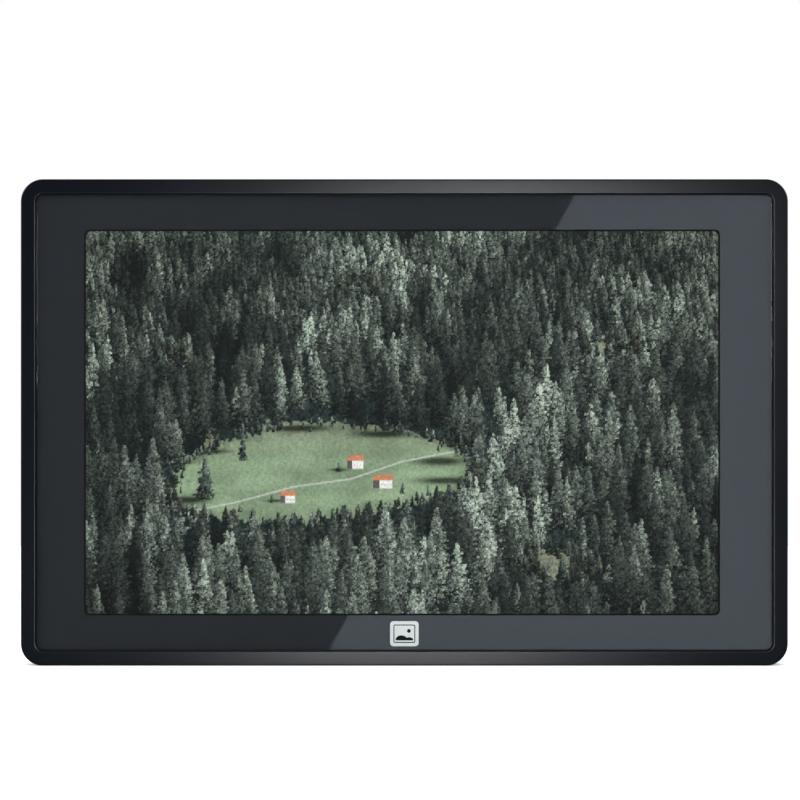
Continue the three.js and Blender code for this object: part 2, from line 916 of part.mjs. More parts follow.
function tipPad() {
  return block(
    -tipPadWidth / 2,
    tipPadWidth / 2,
    hingeY - tipPadThickness / 2,
    hingeY + tipPadThickness / 2,
    legTipZ - tipPadProud,
    legTipZ + tipPadDepth - layerGap,
  );
}

// A strip let into the case's lower edge, flush with it.
function footStrip(side, grow, depth) {
  const middle = (coverFront + caseDepth - backEdge) / 2;
  const shape = outline(
    footLength + 2 * grow,
    footWidth + 2 * grow,
    footWidth / 2 + grow - 0.01,
    side * footX,
    middle,
  );
  const made = new THREE.ExtrudeGeometry(shape, {
    depth,
    bevelEnabled: false,
    curveSegments: 6,
  });
  made.translate(0, 0, -caseHeight / 2);
  return solid(made);
}

// Keyhole with its slot running up, or towards -X on the side used when the frame is upright.
function keyhole(x, z, sideways) {
  const front = backInside - 1;
  const back = caseDepth + 1;
  const head = rod(keyholeHead, front, back, x, z);
  const endX = sideways ? x - keyholeRun : x;
  const endZ = sideways ? z : z + keyholeRun;
  const end = rod(keyholeSlot, front, back, endX, endZ);
  const slot = sideways
    ? block(endX, x, front, back, z - keyholeSlot, z + keyholeSlot)
    : block(x - keyholeSlot, x + keyholeSlot, front, back, z, endZ);
  return joined([head, end, slot]);
}

function slotRow(count, pitch, width, height, x, z) {
  const slots = [];
  for (let i = 0; i < count; i++) {
    const at = x + (i - (count - 1) / 2) * pitch;
    slots.push(
      plate(outline(width, height, width / 2 - 0.01, at, z), backInside - 1, caseDepth + 1, 2),
    );
  }
  return slots;
}

function coverShell() {
  const outside = caseSweep(
    [
      [0, coverFront],
      ...quarterRound(backEdge, backEdge, caseDepth - backEdge, 0),
    ],
    false,
  );
  const inside = caseSweep(
    [
      [wall, coverFront - 1],
      ...quarterRound(backEdge - wall, backEdge, caseDepth - backEdge, 0, 3),
    ],
    false,
  );
  return outside.subtract(inside);
}

function coverLip() {
  return caseSweep(
    [
      [wall + slip, coverFront - lipReach],
      [wall + slip, coverFront],
      [wall - 0.1, coverFront],
      [wall - 0.1, coverFront + 1.2],
      [lipInset, coverFront + 1.2],
      [lipInset, coverFront - lipReach],
    ],
    true,
  );
}

function legPocketWalls() {
  const top = pocketTop + pocketWall;
  const bottom = pocketBottom - pocketWall;
  const tray = plate(
    legOutline(pocketSlip + pocketWall, top, bottom),
    pocketFloor - pocketWall,
    backInside + 0.5,
  );
  const ears = [-1, 1].map((side) => {
    const inner = side * (legTopWidth / 2);
    const outer = side * (pinHalf + pocketWall);
    return block(
      Math.min(inner, outer),
      Math.max(inner, outer),
      hingeY - pinRadius - pocketWall,
      backInside + 0.5,
      hingeZ - hingeEar,
      hingeZ + hingeEar,
    );
  });
  const scoopWalls = [-1, 1].map((side) => scoop(side, pocketWall, backInside + 0.5));
  return joined([tray, ...ears, ...scoopWalls]);
}

// The hollow beside the leg's end where a fingertip gets behind it.
function scoop(side, grow, back) {
  const reach = legTipWidth / 2 + pocketSlip + scoopReach;
  const z = -caseHeight / 2 + scoopRise;
  const shape = outline(
    2 * (reach + grow),
    scoopHeight + 2 * grow,
    6 + grow,
    0,
    z,
  );
  const front = caseDepth - scoopDepth - grow;
  const half = plate(shape, front, back, 6);
  const keep = side > 0 ? [10, reach + grow + 1] : [-reach - grow - 1, -10];
  return half.intersect(block(keep[0], keep[1], front - 1, back + 1, z - 40, z + 40));
}

function coverPosts() {
  const posts = caseScrewPlaces.map(([x, z]) =>
    rod(screwPost, skirtDepth + seam, backInside + 0.5, x, z),
  );
  const boardPosts = boardPlaces().map(([x, z]) =>
    rod(boardBoss, boardBack + layerGap, backInside + 0.5, x, z),
  );
  const [left, right] = buttonBoardSpan();
  const stakes = [left + 2, right - 2].flatMap((x) => [
    rod(0.75, buttonBoardFront - 0.5, backInside + 0.5, x, buttonRowZ, 12),
    rod(1.8, buttonBoardFront + buttonBoardThickness + layerGap, backInside + 0.5, x, buttonRowZ),
  ]);
  const rails = [-1, 1].flatMap((side) =>
    [-1, 1].map((edge) => {
      const near = speakerZ + edge * (speakerHeight / 2 + slip);
      const far = near + edge * speakerRail;
      return block(
        side * speakerX - 14,
        side * speakerX + 14,
        backInside - speakerDepth,
        backInside + 0.5,
        Math.min(near, far),
        Math.max(near, far),
      );
    }),
  );
  return [...posts, ...boardPosts, ...stakes, ...rails];
}

function coverCuts() {
  const pocket = plate(legOutline(pocketSlip, pocketTop, pocketBottom), pocketFloor, caseDepth + 1);
  const scoops = [-1, 1].map((side) => scoop(side, 0, caseDepth + 1));
  // Open at the right-hand ear's end, where the pin goes in.
  const pinHole = crossRod(pinRadius + pinGap, -pinHalf, pinHalf + wall, hingeY, hingeZ);
  const screwHoles = caseScrewPlaces.flatMap(([x, z]) => [
    rod(caseScrew.shank + 0.2, coverFront - 1, screwSeat + 1, x, z, 12),
    rod(caseScrew.head + 0.3, screwSeat - layerGap, caseDepth + 1, x, z),
  ]);
  const boardHoles = boardPlaces().map(([x, z]) =>
    rod(smallScrew.shank + threadGap, boardBack - 1, boardBack + 6, x, z, 12),
  );
  const buttonHoles = buttonNames.map((name, index) =>
    plate(
      outline(
        buttonWidth + 2 * buttonGap,
        buttonHeight + 2 * buttonGap,
        buttonHeight / 2 + buttonGap - 0.01,
        buttonX(index),
        buttonRowZ,
      ),
      backInside - 1,
      caseDepth + 1,
      6,
    ),
  );
  const keyholes = [
    keyhole(-hangSpacing / 2, hangZ, false),
    keyhole(hangSpacing / 2, hangZ, false),
    keyhole(sideHangX, sideHangSpacing / 2, true),
    keyhole(sideHangX, -sideHangSpacing / 2, true),
  ];
  const vents = slotRow(ventCount, ventPitch, ventWidth, ventHeight, chipX() + 8, ventZ);
  const grilles = [-1, 1].flatMap((side) =>
    slotRow(grilleCount, grillePitch, grilleWidth, grilleHeight, side * speakerX, speakerZ),
  );
  const feet = [-1, 1].map((side) => footStrip(side, layerGap * 3, footDepth + layerGap));
  return [
    pocket,
    ...scoops,
    pinHole,
    ...screwHoles,
    ...boardHoles,
    ...buttonHoles,
    ...keyholes,
    ...vents,
    ...grilles,
    ...feet.map((foot) => foot.translate(0, 0, -layerGap)),
    ...socketMouths(),
  ];
}

// Openings in the right-hand wall in front of the sockets.
function socketMouths() {
  const left = caseWidth / 2 - wall - 2;
  const right = caseWidth / 2 + 1;
  const usb = block(
    left,
    right,
    socketMiddle(usbPort) - usbPort.rise / 2 - socketGap,
    socketMiddle(usbPort) + usbPort.rise / 2 + socketGap,
    usbPort.centre - usbPort.width / 2 - socketGap,
    usbPort.centre + usbPort.width / 2 + socketGap,
  );
  const card = block(
    left,
    right,
    socketMiddle(cardSlot) - cardSlot.rise / 2 - socketGap,
    socketMiddle(cardSlot) + cardSlot.rise / 2 + socketGap,
    cardSlot.centre - cardSlot.width / 2 - socketGap,
    cardSlot.centre + cardSlot.width / 2 + socketGap,
  );
  const power = crossRod(
    powerJack.bore + 0.6,
    left,
    right,
    socketMiddle(powerJack),
    powerJack.centre,
  );
  return [usb, card, power];
}

function rearCover() {
  const body = joined([coverShell(), coverLip(), legPocketWalls(), ...coverPosts()]);
  return cut(body, coverCuts());
}

const frame = new THREE.Group();
const add = (name, body, material) => frame.add(mesh(name, body, material));

add("front_frame", frontFrame(), rimLacquer);
add("front_glass", frontGlass(), clearGlass);
add("glass_mask", glassMask(), greyInk);
add("front_badge", badge(), silverInk);
add("glass_tape", glassTape(), blackTape);

add("display_foam", moduleRing(tapeFront, foamBack, 1.5), blackTape);
add("display_bezel", moduleBezel(), zincSteel);
add("display_cell", moduleSheet(sheetMetal + layerGap, cellFront, cellBack), screenImage);
add("diffuser_film", moduleSheet(filmInset, filmFront, filmFront + filmThickness), whiteFilm);
add("light_guide", lightGuide(), clearAcrylic);
add("led_strip", ledStrip(), whiteFilm);
add(
  "reflector_sheet",
  moduleSheet(filmInset, reflectorFront, reflectorFront + filmThickness),
  whiteFilm,
);
add("backlight_tray", backlightTray(), zincSteel);
add("display_ribbon", ribbonCable(), amberFilm);
add("display_strap_left", strap(-1), zincSteel);
add("display_strap_right", strap(1), zincSteel);
strapPlaces().forEach(([x, z], i) =>
  add(`strap_screw_${i + 1}`, screw(smallScrew, x, z, strapBack + layerGap, 3, true), plugSteel),
);

add("main_board", mainBoard(), boardGreen);
add("processor", processor(), chipBlack);
add("heat_sink", heatSink(), sinkMetal);
add("memory_chip", memoryChip(), chipBlack);
add("wireless_module", wirelessModule(), sinkMetal);
add("usb_port", usbSocket(), plugSteel);
add("card_slot", memoryCardSlot(), plugSteel);
add("power_jack", powerSocket(), chipBlack);
boardPlaces().forEach(([x, z], i) =>
  add(`board_screw_${i + 1}`, screw(smallScrew, x, z, boardFront - layerGap, 6, false), plugSteel),
);

add("button_board", buttonBoard(), boardGreen);
buttonNames.forEach((name, i) => {
  add(`${name}_switch`, tactSwitch(i), chipBlack);
  add(`${name}_button`, button(i), coverPlastic);
});
add("speaker_left", speaker(-1), chipBlack);
add("speaker_right", speaker(1), chipBlack);

add("rear_cover", rearCover(), coverPlastic);
add("stand_leg", standLeg(), legPlastic);
add("hinge_pin", hingePin(), plugSteel);
add("leg_pad", tipPad(), rubberBlack);
[-1, 1].forEach((side) =>
  add(side < 0 ? "foot_strip_left" : "foot_strip_right", footStrip(side, 0, footDepth), rubberBlack),
);
caseScrewPlaces.forEach(([x, z], i) =>
  add(
    `case_screw_${i + 1}`,
    screw(caseScrew, x, z, screwSeat, screwSeat - skirtDepth + screwReach, true),
    plugSteel,
  ),
);

add("speaker_socket", speakerSocket(), whiteFilm);
add("speaker_wire_left", speakerWire(-1), redWire);
add("speaker_wire_right", speakerWire(1), redWire);

frame.position.set(0, -(caseDepth + buttonProud) / 2, caseHeight / 2);
const part = new THREE.Group();
part.add(frame);

export default part;
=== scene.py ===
import json
import math

import bmesh
import bpy
import numpy as np
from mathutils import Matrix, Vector

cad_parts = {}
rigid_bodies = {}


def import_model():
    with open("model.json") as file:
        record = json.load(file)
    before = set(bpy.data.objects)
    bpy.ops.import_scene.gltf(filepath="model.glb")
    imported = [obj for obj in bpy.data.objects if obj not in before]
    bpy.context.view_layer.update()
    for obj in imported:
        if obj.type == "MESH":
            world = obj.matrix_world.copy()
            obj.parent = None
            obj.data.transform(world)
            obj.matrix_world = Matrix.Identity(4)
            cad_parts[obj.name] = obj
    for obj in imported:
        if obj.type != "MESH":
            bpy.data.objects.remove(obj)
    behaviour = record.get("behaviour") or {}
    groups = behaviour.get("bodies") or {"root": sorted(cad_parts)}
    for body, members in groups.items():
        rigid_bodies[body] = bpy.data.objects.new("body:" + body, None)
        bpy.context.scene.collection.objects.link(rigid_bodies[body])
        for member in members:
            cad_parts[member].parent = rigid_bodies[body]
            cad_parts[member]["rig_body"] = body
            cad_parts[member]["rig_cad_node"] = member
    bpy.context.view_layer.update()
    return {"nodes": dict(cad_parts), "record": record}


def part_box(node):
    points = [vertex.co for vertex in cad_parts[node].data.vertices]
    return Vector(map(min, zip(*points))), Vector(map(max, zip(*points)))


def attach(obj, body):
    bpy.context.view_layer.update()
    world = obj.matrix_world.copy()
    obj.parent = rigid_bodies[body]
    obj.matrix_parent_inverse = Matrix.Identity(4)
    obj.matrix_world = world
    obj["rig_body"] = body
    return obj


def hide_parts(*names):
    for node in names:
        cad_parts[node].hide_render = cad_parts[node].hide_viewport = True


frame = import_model()
mm = 0.001
hair = 0.000002  # points closer than this are one point
caseLow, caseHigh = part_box("front_frame")
caseWidth = caseHigh.x - caseLow.x
caseHeight = caseHigh.z - caseLow.z
frontY = caseLow.y
midZ = (caseLow.z + caseHigh.z) / 2
print("frame loaded:", len(frame["nodes"]), "nodes")

# camera, floor and lights
view = {"distance": 1.6, "across": -1.5 * mm, "above": 7.7 * mm, "width": 274.2 * mm}


studioLights = {  # place, width and height, watts, whether glossy surfaces mirror it
    "overheadLight": ((0, -0.1, 1.7), (2.4, 2.0), 54, False),
    "overheadSheen": ((0, -0.1, 1.7), (2.4, 2.0), 8, True),
    "leftLight": ((-1.6, -1.2, 0.85), (1.7, 1.6), 48, True),
    "rightLight": ((1.6, -1.2, 0.85), (1.7, 1.6), 48, True),
    "backLeftLight": ((-1.3, 1.3, 0.9), (1.7, 1.6), 28, True),
    "backRightLight": ((1.4, 1.2, 0.8), (1.7, 1.5), 22, True),
}
air = {"around": (0.16, 0.165, 0.17), "behind": (1, 1, 1), "mirrored": (0.035, 0.036, 0.038)}


def placeCamera():
    spot = (view["across"], frontY - view["distance"], midZ + view["above"])
    bpy.ops.object.camera_add(location=spot, rotation=(math.pi / 2, 0, 0))
    camera = bpy.context.object
    camera.name = "frontCamera"
    camera.data.sensor_width = 36
    camera.data.lens = 36 * view["distance"] / view["width"]
    camera.data.clip_end = 30
    bpy.context.scene.camera = camera


def softLight(name, place, target, width, height, power, colour=(1, 1, 1)):
    bpy.ops.object.light_add(type="AREA", location=place)
    light = bpy.context.object
    light.name = name
    light.data.shape = "RECTANGLE"
    light.data.size, light.data.size_y = width, height
    light.data.energy = power
    light.data.color = colour
    light.visible_camera = False
    aim = Vector(target) - Vector(place)
    light.rotation_euler = aim.to_track_quat("-Z", "Y").to_euler()
    return light


def onlyLights(light, pieces):
    group = bpy.data.collections.new(light.name + "Pieces")
    for piece in pieces:
        group.objects.link(piece)
    light.light_linking.receiver_collection = group


def placeStudio():
    bpy.ops.mesh.primitive_grid_add(x_subdivisions=8, y_subdivisions=8, size=2.6, location=(0, 0, 0))
    floor = bpy.context.object
    floor.name = "studioFloor"
    floor.visible_glossy = False  # a mirrored floor would show in the glass
    floor.data.materials.append(floorPaint())
    for name, (place, size, power, mirrored) in studioLights.items():
        softLight(name, place, (0, 0, midZ), *size, power).visible_glossy = mirrored
    world = bpy.data.worlds.new("studioAir")
    bpy.context.scene.world = world
    world.use_nodes = True
    nodes, links = world.node_tree.nodes, world.node_tree.links
    around = nodes["Background"]
    around.inputs["Color"].default_value = (*air["around"], 1)
    seen = nodes.new("ShaderNodeLightPath")
    last = around.outputs[0]
    for ray, share in (("Is Glossy Ray", "mirrored"), ("Is Camera Ray", "behind")):
        colour = nodes.new("ShaderNodeBackground")
        colour.inputs["Color"].default_value = (*air[share], 1)
        mix = nodes.new("ShaderNodeMixShader")
        links.new(seen.outputs[ray], mix.inputs[0])
        links.new(last, mix.inputs[1])
        links.new(colour.outputs[0], mix.inputs[2])
        last = mix.outputs[0]
    links.new(last, nodes["World Output"].inputs["Surface"])
    bpy.context.scene.view_settings.view_transform = "Standard"


# finishes
def startFinish(name, colour, roughness, metallic=0.0):
    finish = bpy.data.materials.new(name)
    finish.use_nodes = True
    finish.diffuse_color = (*colour, 1)
    shader = finish.node_tree.nodes["Principled BSDF"]
    shader.inputs["Base Color"].default_value = (*colour, 1)
    shader.inputs["Roughness"].default_value = roughness
    shader.inputs["Metallic"].default_value = metallic
    return finish, finish.node_tree.nodes, finish.node_tree.links, shader


def placeNode(nodes, links, scale=(1, 1, 1), source="Object"):
    where = nodes.new("ShaderNodeTexCoord")
    mapping = nodes.new("ShaderNodeMapping")
    mapping.inputs["Scale"].default_value = scale
    links.new(where.outputs[source], mapping.inputs["Vector"])
    return mapping.outputs["Vector"]


def noiseNode(nodes, links, vector, scale, detail=3.0, rough=0.5):
    noise = nodes.new("ShaderNodeTexNoise")
    noise.inputs["Scale"].default_value = scale
    noise.inputs["Detail"].default_value = detail
    noise.inputs["Roughness"].default_value = rough
    links.new(vector, noise.inputs["Vector"])
    return noise.outputs["Fac"]


def spreadNode(nodes, links, value, low, high, fromLow=0.3, fromHigh=0.7):
    spread = nodes.new("ShaderNodeMapRange")
    spread.inputs["From Min"].default_value = fromLow
    spread.inputs["From Max"].default_value = fromHigh
    spread.inputs["To Min"].default_value = low
    spread.inputs["To Max"].default_value = high
    links.new(value, spread.inputs["Value"])
    return spread.outputs["Result"]


def mixColours(nodes, links, value, colourA, colourB):
    mix = nodes.new("ShaderNodeMix")
    mix.data_type = "RGBA"
    links.new(value, mix.inputs["Factor"])
    for socket, colour in (("A", colourA), ("B", colourB)):
        target = [s for s in mix.inputs if s.name == socket and s.type == "RGBA"][0]
        if isinstance(colour, tuple):
            target.default_value = (*colour, 1)
        else:
            links.new(colour, target)
    return [s for s in mix.outputs if s.type == "RGBA"][0]


def bumpNode(nodes, links, shader, height, distance, strength=1.0):
    bump = nodes.new("ShaderNodeBump")
    bump.inputs["Distance"].default_value = distance
    bump.inputs["Strength"].default_value = strength
    links.new(height, bump.inputs["Height"])
    links.new(bump.outputs["Normal"], shader.inputs["Normal"])


def shade(colour, share):
    return tuple(min(c * share, 1.0) for c in colour)


def mouldedPlastic(name, look):
    finish, nodes, links, shader = startFinish(name, look["colour"], look["roughness"])
    at = placeNode(nodes, links)
    grain = noiseNode(nodes, links, at, 1 / look["grain"], 2.0)
    blend = spreadNode(nodes, links, noiseNode(nodes, links, at, 18, 3.0), 0.0, 1.0)
    colour = mixColours(nodes, links, blend, shade(look["colour"], 0.88), shade(look["colour"], 1.14))
    links.new(colour, shader.inputs["Base Color"])
    rough = look["roughness"]
    links.new(spreadNode(nodes, links, grain, rough - 0.06, rough + 0.06), shader.inputs["Roughness"])
    shader.inputs["Specular IOR Level"].default_value = look.get("shine", 0.5)
    bumpNode(nodes, links, shader, grain, look["relief"])
    return finish


def rimLacquer(name, look):
    finish, nodes, links, shader = startFinish(name, look["colour"], look["roughness"])
    at = placeNode(nodes, links)
    clouds = noiseNode(nodes, links, at, 22, 2.0)
    colour = mixColours(nodes, links, clouds, shade(look["colour"], 0.8), shade(look["colour"], 1.2))
    links.new(colour, shader.inputs["Base Color"])
    rough = look["roughness"]
    links.new(spreadNode(nodes, links, clouds, rough - 0.015, rough + 0.015), shader.inputs["Roughness"])
    shader.inputs["Specular IOR Level"].default_value = look["shine"]
    bumpNode(nodes, links, shader, noiseNode(nodes, links, at, 60, 1.0), look["relief"])
    return finish


def platedMetal(name, look):
    finish, nodes, links, shader = startFinish(name, look["colour"], look["roughness"], 1.0)
    at = placeNode(nodes, links, look["stretch"])
    brush = noiseNode(nodes, links, at, 2400, 3.0, 0.6)
    blend = spreadNode(nodes, links, brush, 0.0, 1.0)
    colour = mixColours(nodes, links, blend, shade(look["colour"], 0.88), shade(look["colour"], 1.08))
    links.new(colour, shader.inputs["Base Color"])
    rough = look["roughness"]
    links.new(spreadNode(nodes, links, brush, rough - 0.05, rough + 0.06), shader.inputs["Roughness"])
    bumpNode(nodes, links, shader, brush, 0.000003)
    return finish


def circuitBoard(name, look):
    finish, nodes, links, shader = startFinish(name, look["colour"], 0.4)
    at = placeNode(nodes, links)
    cells = nodes.new("ShaderNodeTexVoronoi")
    cells.feature = "DISTANCE_TO_EDGE"
    cells.inputs["Scale"].default_value = 260
    links.new(at, cells.inputs["Vector"])
    track = spreadNode(nodes, links, cells.outputs["Distance"], 1.0, 0.0, 0.02, 0.05)
    pads = nodes.new("ShaderNodeTexVoronoi")
    pads.inputs["Scale"].default_value = 420
    links.new(at, pads.inputs["Vector"])
    pad = spreadNode(nodes, links, pads.outputs["Distance"], 1.0, 0.0, 0.10, 0.14)
    base = mixColours(nodes, links, track, look["colour"], look["track"])
    colour = mixColours(nodes, links, pad, base, look["pad"])
    links.new(colour, shader.inputs["Base Color"])
    links.new(pad, shader.inputs["Metallic"])
    bumpNode(nodes, links, shader, track, 0.00003)
    return finish


def softRubber(name, look):
    finish, nodes, links, shader = startFinish(name, look["colour"], look["roughness"])
    at = placeNode(nodes, links)
    pores = noiseNode(nodes, links, at, 2600, 3.0, 0.7)
    colour = mixColours(nodes, links, pores, shade(look["colour"], 0.75), shade(look["colour"], 1.4))
    links.new(colour, shader.inputs["Base Color"])
    links.new(spreadNode(nodes, links, pores, 0.75, 0.95), shader.inputs["Roughness"])
    bumpNode(nodes, links, shader, pores, 0.00006)
    return finish


def clearSheet(name, look):
    finish, nodes, links, shader = startFinish(name, look["colour"], look["roughness"])
    at = placeNode(nodes, links)
    dots = nodes.new("ShaderNodeTexVoronoi")
    dots.inputs["Scale"].default_value = 900
    dots.inputs["Randomness"].default_value = 0.15
    links.new(at, dots.inputs["Vector"])
    dot = spreadNode(nodes, links, dots.outputs["Distance"], 1.0, 0.0, 0.15, 0.25)
    colour = mixColours(nodes, links, dot, look["colour"], (0.95, 0.95, 0.95))
    links.new(colour, shader.inputs["Base Color"])
    links.new(spreadNode(nodes, links, dot, look["roughness"], 0.6, 0, 1), shader.inputs["Roughness"])
    return finish


def printedInk(name, look):
    finish, nodes, links, shader = startFinish(name, look["colour"], 0.6)
    at = placeNode(nodes, links)
    fine = noiseNode(nodes, links, at, 1400, 2.0)
    colour = mixColours(nodes, links, fine, shade(look["colour"], 0.90), shade(look["colour"], 1.10))
    links.new(colour, shader.inputs["Base Color"])
    links.new(spreadNode(nodes, links, fine, 0.55, 0.70), shader.inputs["Roughness"])
    shader.inputs["Specular IOR Level"].default_value = 0.1
    shader.inputs["Coat Weight"].default_value = look["coat"]
    shader.inputs["Coat Roughness"].default_value = 0.012
    return finish


def frontGlassFinish():
    finish, nodes, links, shader = startFinish("polishedGlass", (0.9, 0.95, 0.95), 0.02)
    nodes.remove(shader)
    clear = nodes.new("ShaderNodeBsdfTransparent")
    clear.inputs["Color"].default_value = (0.990, 0.995, 0.993, 1)
    gloss = nodes.new("ShaderNodeBsdfGlossy")
    gloss.inputs["Color"].default_value = (1, 1, 1, 1)
    gloss.inputs["Roughness"].default_value = 0.015
    facing = nodes.new("ShaderNodeLayerWeight")
    power = nodes.new("ShaderNodeMath")
    power.operation = "POWER"
    links.new(facing.outputs["Facing"], power.inputs[0])
    power.inputs[1].default_value = 5
    # this share of mirror is the same from both sides of the pane
    share = spreadNode(nodes, links, power.outputs[0], 0.04, 1.0, 0.0, 1.0)
    at = placeNode(nodes, links)
    ripple = noiseNode(nodes, links, at, 14, 1.0)
    bump = nodes.new("ShaderNodeBump")
    bump.inputs["Distance"].default_value = 0.000004
    links.new(ripple, bump.inputs["Height"])
    links.new(bump.outputs["Normal"], gloss.inputs["Normal"])
    mix = nodes.new("ShaderNodeMixShader")
    links.new(share, mix.inputs[0])
    links.new(clear.outputs[0], mix.inputs[1])
    links.new(gloss.outputs[0], mix.inputs[2])
    links.new(mix.outputs[0], nodes["Material Output"].inputs["Surface"])
    return finish


def screenFinish():
    finish, nodes, links, shader = startFinish("litPicture", (0.0015, 0.0016, 0.0018), 0.35)
    painted = nodes.new("ShaderNodeAttribute")
    painted.attribute_name = "painting"
    at = placeNode(nodes, links)
    fine = noiseNode(nodes, links, at, 1500, 2.0, 0.6)
    lift = spreadNode(nodes, links, fine, 0.82, 1.20)
    scale = nodes.new("ShaderNodeVectorMath")
    scale.operation = "SCALE"
    links.new(painted.outputs["Color"], scale.inputs[0])
    links.new(lift, scale.inputs["Scale"])
    links.new(scale.outputs[0], shader.inputs["Emission Color"])
    shader.inputs["Emission Strength"].default_value = 1.0
    shader.inputs["Specular IOR Level"].default_value = 0.15
    return finish


def floorPaint():
    finish, nodes, links, shader = startFinish("floorPaint", (0.86, 0.86, 0.86), 0.7)
    at = placeNode(nodes, links)
    clouds = spreadNode(nodes, links, noiseNode(nodes, links, at, 1.5, 2.0), 0.0, 1.0)
    colour = mixColours(nodes, links, clouds, (0.85, 0.85, 0.85), (0.88, 0.88, 0.88))
    links.new(colour, shader.inputs["Base Color"])
    return finish


plastics = {
    "cover_plastic": {"colour": (0.0078, 0.0081, 0.0088), "roughness": 0.62, "shine": 0.3,
                      "grain": 0.0006, "relief": 0.00003},
    "leg_plastic": {"colour": (0.0082, 0.0085, 0.0094), "roughness": 0.6, "shine": 0.3,
                    "grain": 0.0006, "relief": 0.00003},
    "button_plastic": {"colour": (0.010, 0.0105, 0.0115), "roughness": 0.4, "shine": 0.4,
                       "grain": 0.0008, "relief": 0.000005},
    "white_film": {"colour": (0.82, 0.82, 0.80), "roughness": 0.6, "grain": 0.0012, "relief": 0.000004},
    "chip_black": {"colour": (0.012, 0.012, 0.013), "roughness": 0.6, "grain": 0.0003, "relief": 0.00001},
    "amber_film": {"colour": (0.45, 0.14, 0.03), "roughness": 0.35, "grain": 0.002, "relief": 0.00001},
    "red_wire": {"colour": (0.33, 0.02, 0.015), "roughness": 0.45, "grain": 0.0008, "relief": 0.00001},
}
lacquerLook = {"colour": (0.0006, 0.0012, 0.0024), "roughness": 0.31, "relief": 0.000002, "shine": 0.11}
# the rim's inner edge: a lighter colour than the lacquer, painted as a highlight line, with a little more
# shine
edgeHighlightLook = {"colour": (0.004, 0.005, 0.007), "roughness": 0.3, "relief": 0.000002, "shine": 0.26}
inks = {
    "grey_ink": {"colour": (0.0093, 0.0116, 0.0143), "coat": 1.0},
    "black_ink": {"colour": (0.002, 0.002, 0.002), "coat": 0.0},
    "silver_ink": {"colour": (0.44, 0.46, 0.465), "coat": 0.2},
}
metals = {
    "zinc_steel": {"colour": (0.52, 0.53, 0.55), "roughness": 0.36, "stretch": (0.08, 1, 1)},
    "plug_steel": {"colour": (0.66, 0.66, 0.67), "roughness": 0.28, "stretch": (1, 1, 0.3)},
    "sink_metal": {"colour": (0.42, 0.43, 0.45), "roughness": 0.42, "stretch": (1, 1, 0.1)},
}
boardLook = {"colour": (0.012, 0.070, 0.025), "track": (0.02, 0.12, 0.045), "pad": (0.62, 0.5, 0.28)}
rubbers = {
    "rubber_black": {"colour": (0.008, 0.008, 0.008), "roughness": 0.9},
    "black_foam": {"colour": (0.006, 0.006, 0.006), "roughness": 0.95},
}
acrylicLook = {"colour": (0.72, 0.77, 0.79), "roughness": 0.12}


def makeFinishes():
    finishes = {name: mouldedPlastic(name, look) for name, look in plastics.items()}
    finishes |= {name: printedInk(name, look) for name, look in inks.items()}
    finishes |= {name: platedMetal(name, look) for name, look in metals.items()}
    finishes |= {name: softRubber(name, look) for name, look in rubbers.items()}
    finishes["rim_lacquer"] = rimLacquer("rim_lacquer", lacquerLook)
    finishes["rim_edge_highlight"] = rimLacquer("rim_edge_highlight", edgeHighlightLook)
    finishes["board_green"] = circuitBoard("board_green", boardLook)
    finishes["clear_acrylic"] = clearSheet("clear_acrylic", acrylicLook)
    finishes["clear_glass"] = frontGlassFinish()
    finishes["screen"] = screenFinish()
    return finishes


def dressCadNodes():
    for row in frame["record"]["subparts"]:
        node = frame["nodes"][row["node"]]
        slots = node.material_slots
        if not slots:
            node.data.materials.append(finishes[row["material_slot"]])
        for slot in slots:
            slot.material = finishes[row["material_slot"]]


# modelling helpers
def deselectAll():
    if bpy.context.object and bpy.context.object.mode == "EDIT":
        bpy.ops.object.mode_set(mode="OBJECT")
    bpy.ops.object.select_all(action="DESELECT")


def pickFaces(piece, test):
    bpy.ops.mesh.select_mode(type="FACE")
    bpy.ops.mesh.select_all(action="DESELECT")
    mesh = bmesh.from_edit_mesh(piece.data)
    for face in mesh.faces:
        face.select_set(bool(test(face.calc_center_median(), face.normal, face)))
    mesh.select_flush_mode()
    bmesh.update_edit_mesh(piece.data)


def startPlate(name, width, height, corner, at, facing=-1, steps=14):
    deselectAll()
    turn = math.pi / 2 if facing < 0 else -math.pi / 2
    bpy.ops.mesh.primitive_plane_add(size=1, location=at, rotation=(turn, 0, 0))
    piece = bpy.context.object
    piece.name = piece.data.name = name
    piece.scale = (width, height, 1)
    bpy.ops.object.transform_apply(location=True, rotation=True, scale=True)
    bpy.ops.object.mode_set(mode="EDIT")
    bpy.ops.mesh.select_all(action="SELECT")
    bpy.ops.mesh.bevel(affect="VERTICES", offset=corner, segments=steps, profile=0.5)
    bpy.ops.mesh.select_mode(type="FACE")
    bpy.ops.mesh.select_all(action="SELECT")
    return piece


def raiseFace(distance):
    bpy.ops.mesh.extrude_region_move(TRANSFORM_OT_translate={"value": (0, distance, 0)})


def insetFace(thickness, rise=0.0):
    bpy.ops.mesh.inset(thickness=thickness, depth=rise, use_even_offset=True)


def roundOver(radius, steps=6, sag=1.0):
    for step in range(steps):
        a, b = (math.pi / 2 * k / steps for k in (step, step + 1))
        insetFace(radius * (math.cos(a) - math.cos(b)), sag * radius * (math.sin(b) - math.sin(a)))


def shrinkFace(fromSize, toSize, shift=0.0):
    raiseFace(0)
    bpy.ops.transform.resize(value=(toSize[0] / fromSize[0], 1, toSize[1] / fromSize[1]))
    if shift:
        bpy.ops.transform.translate(value=(shift, 0, 0))


def dropFace():
    bpy.ops.mesh.delete(type="FACE")


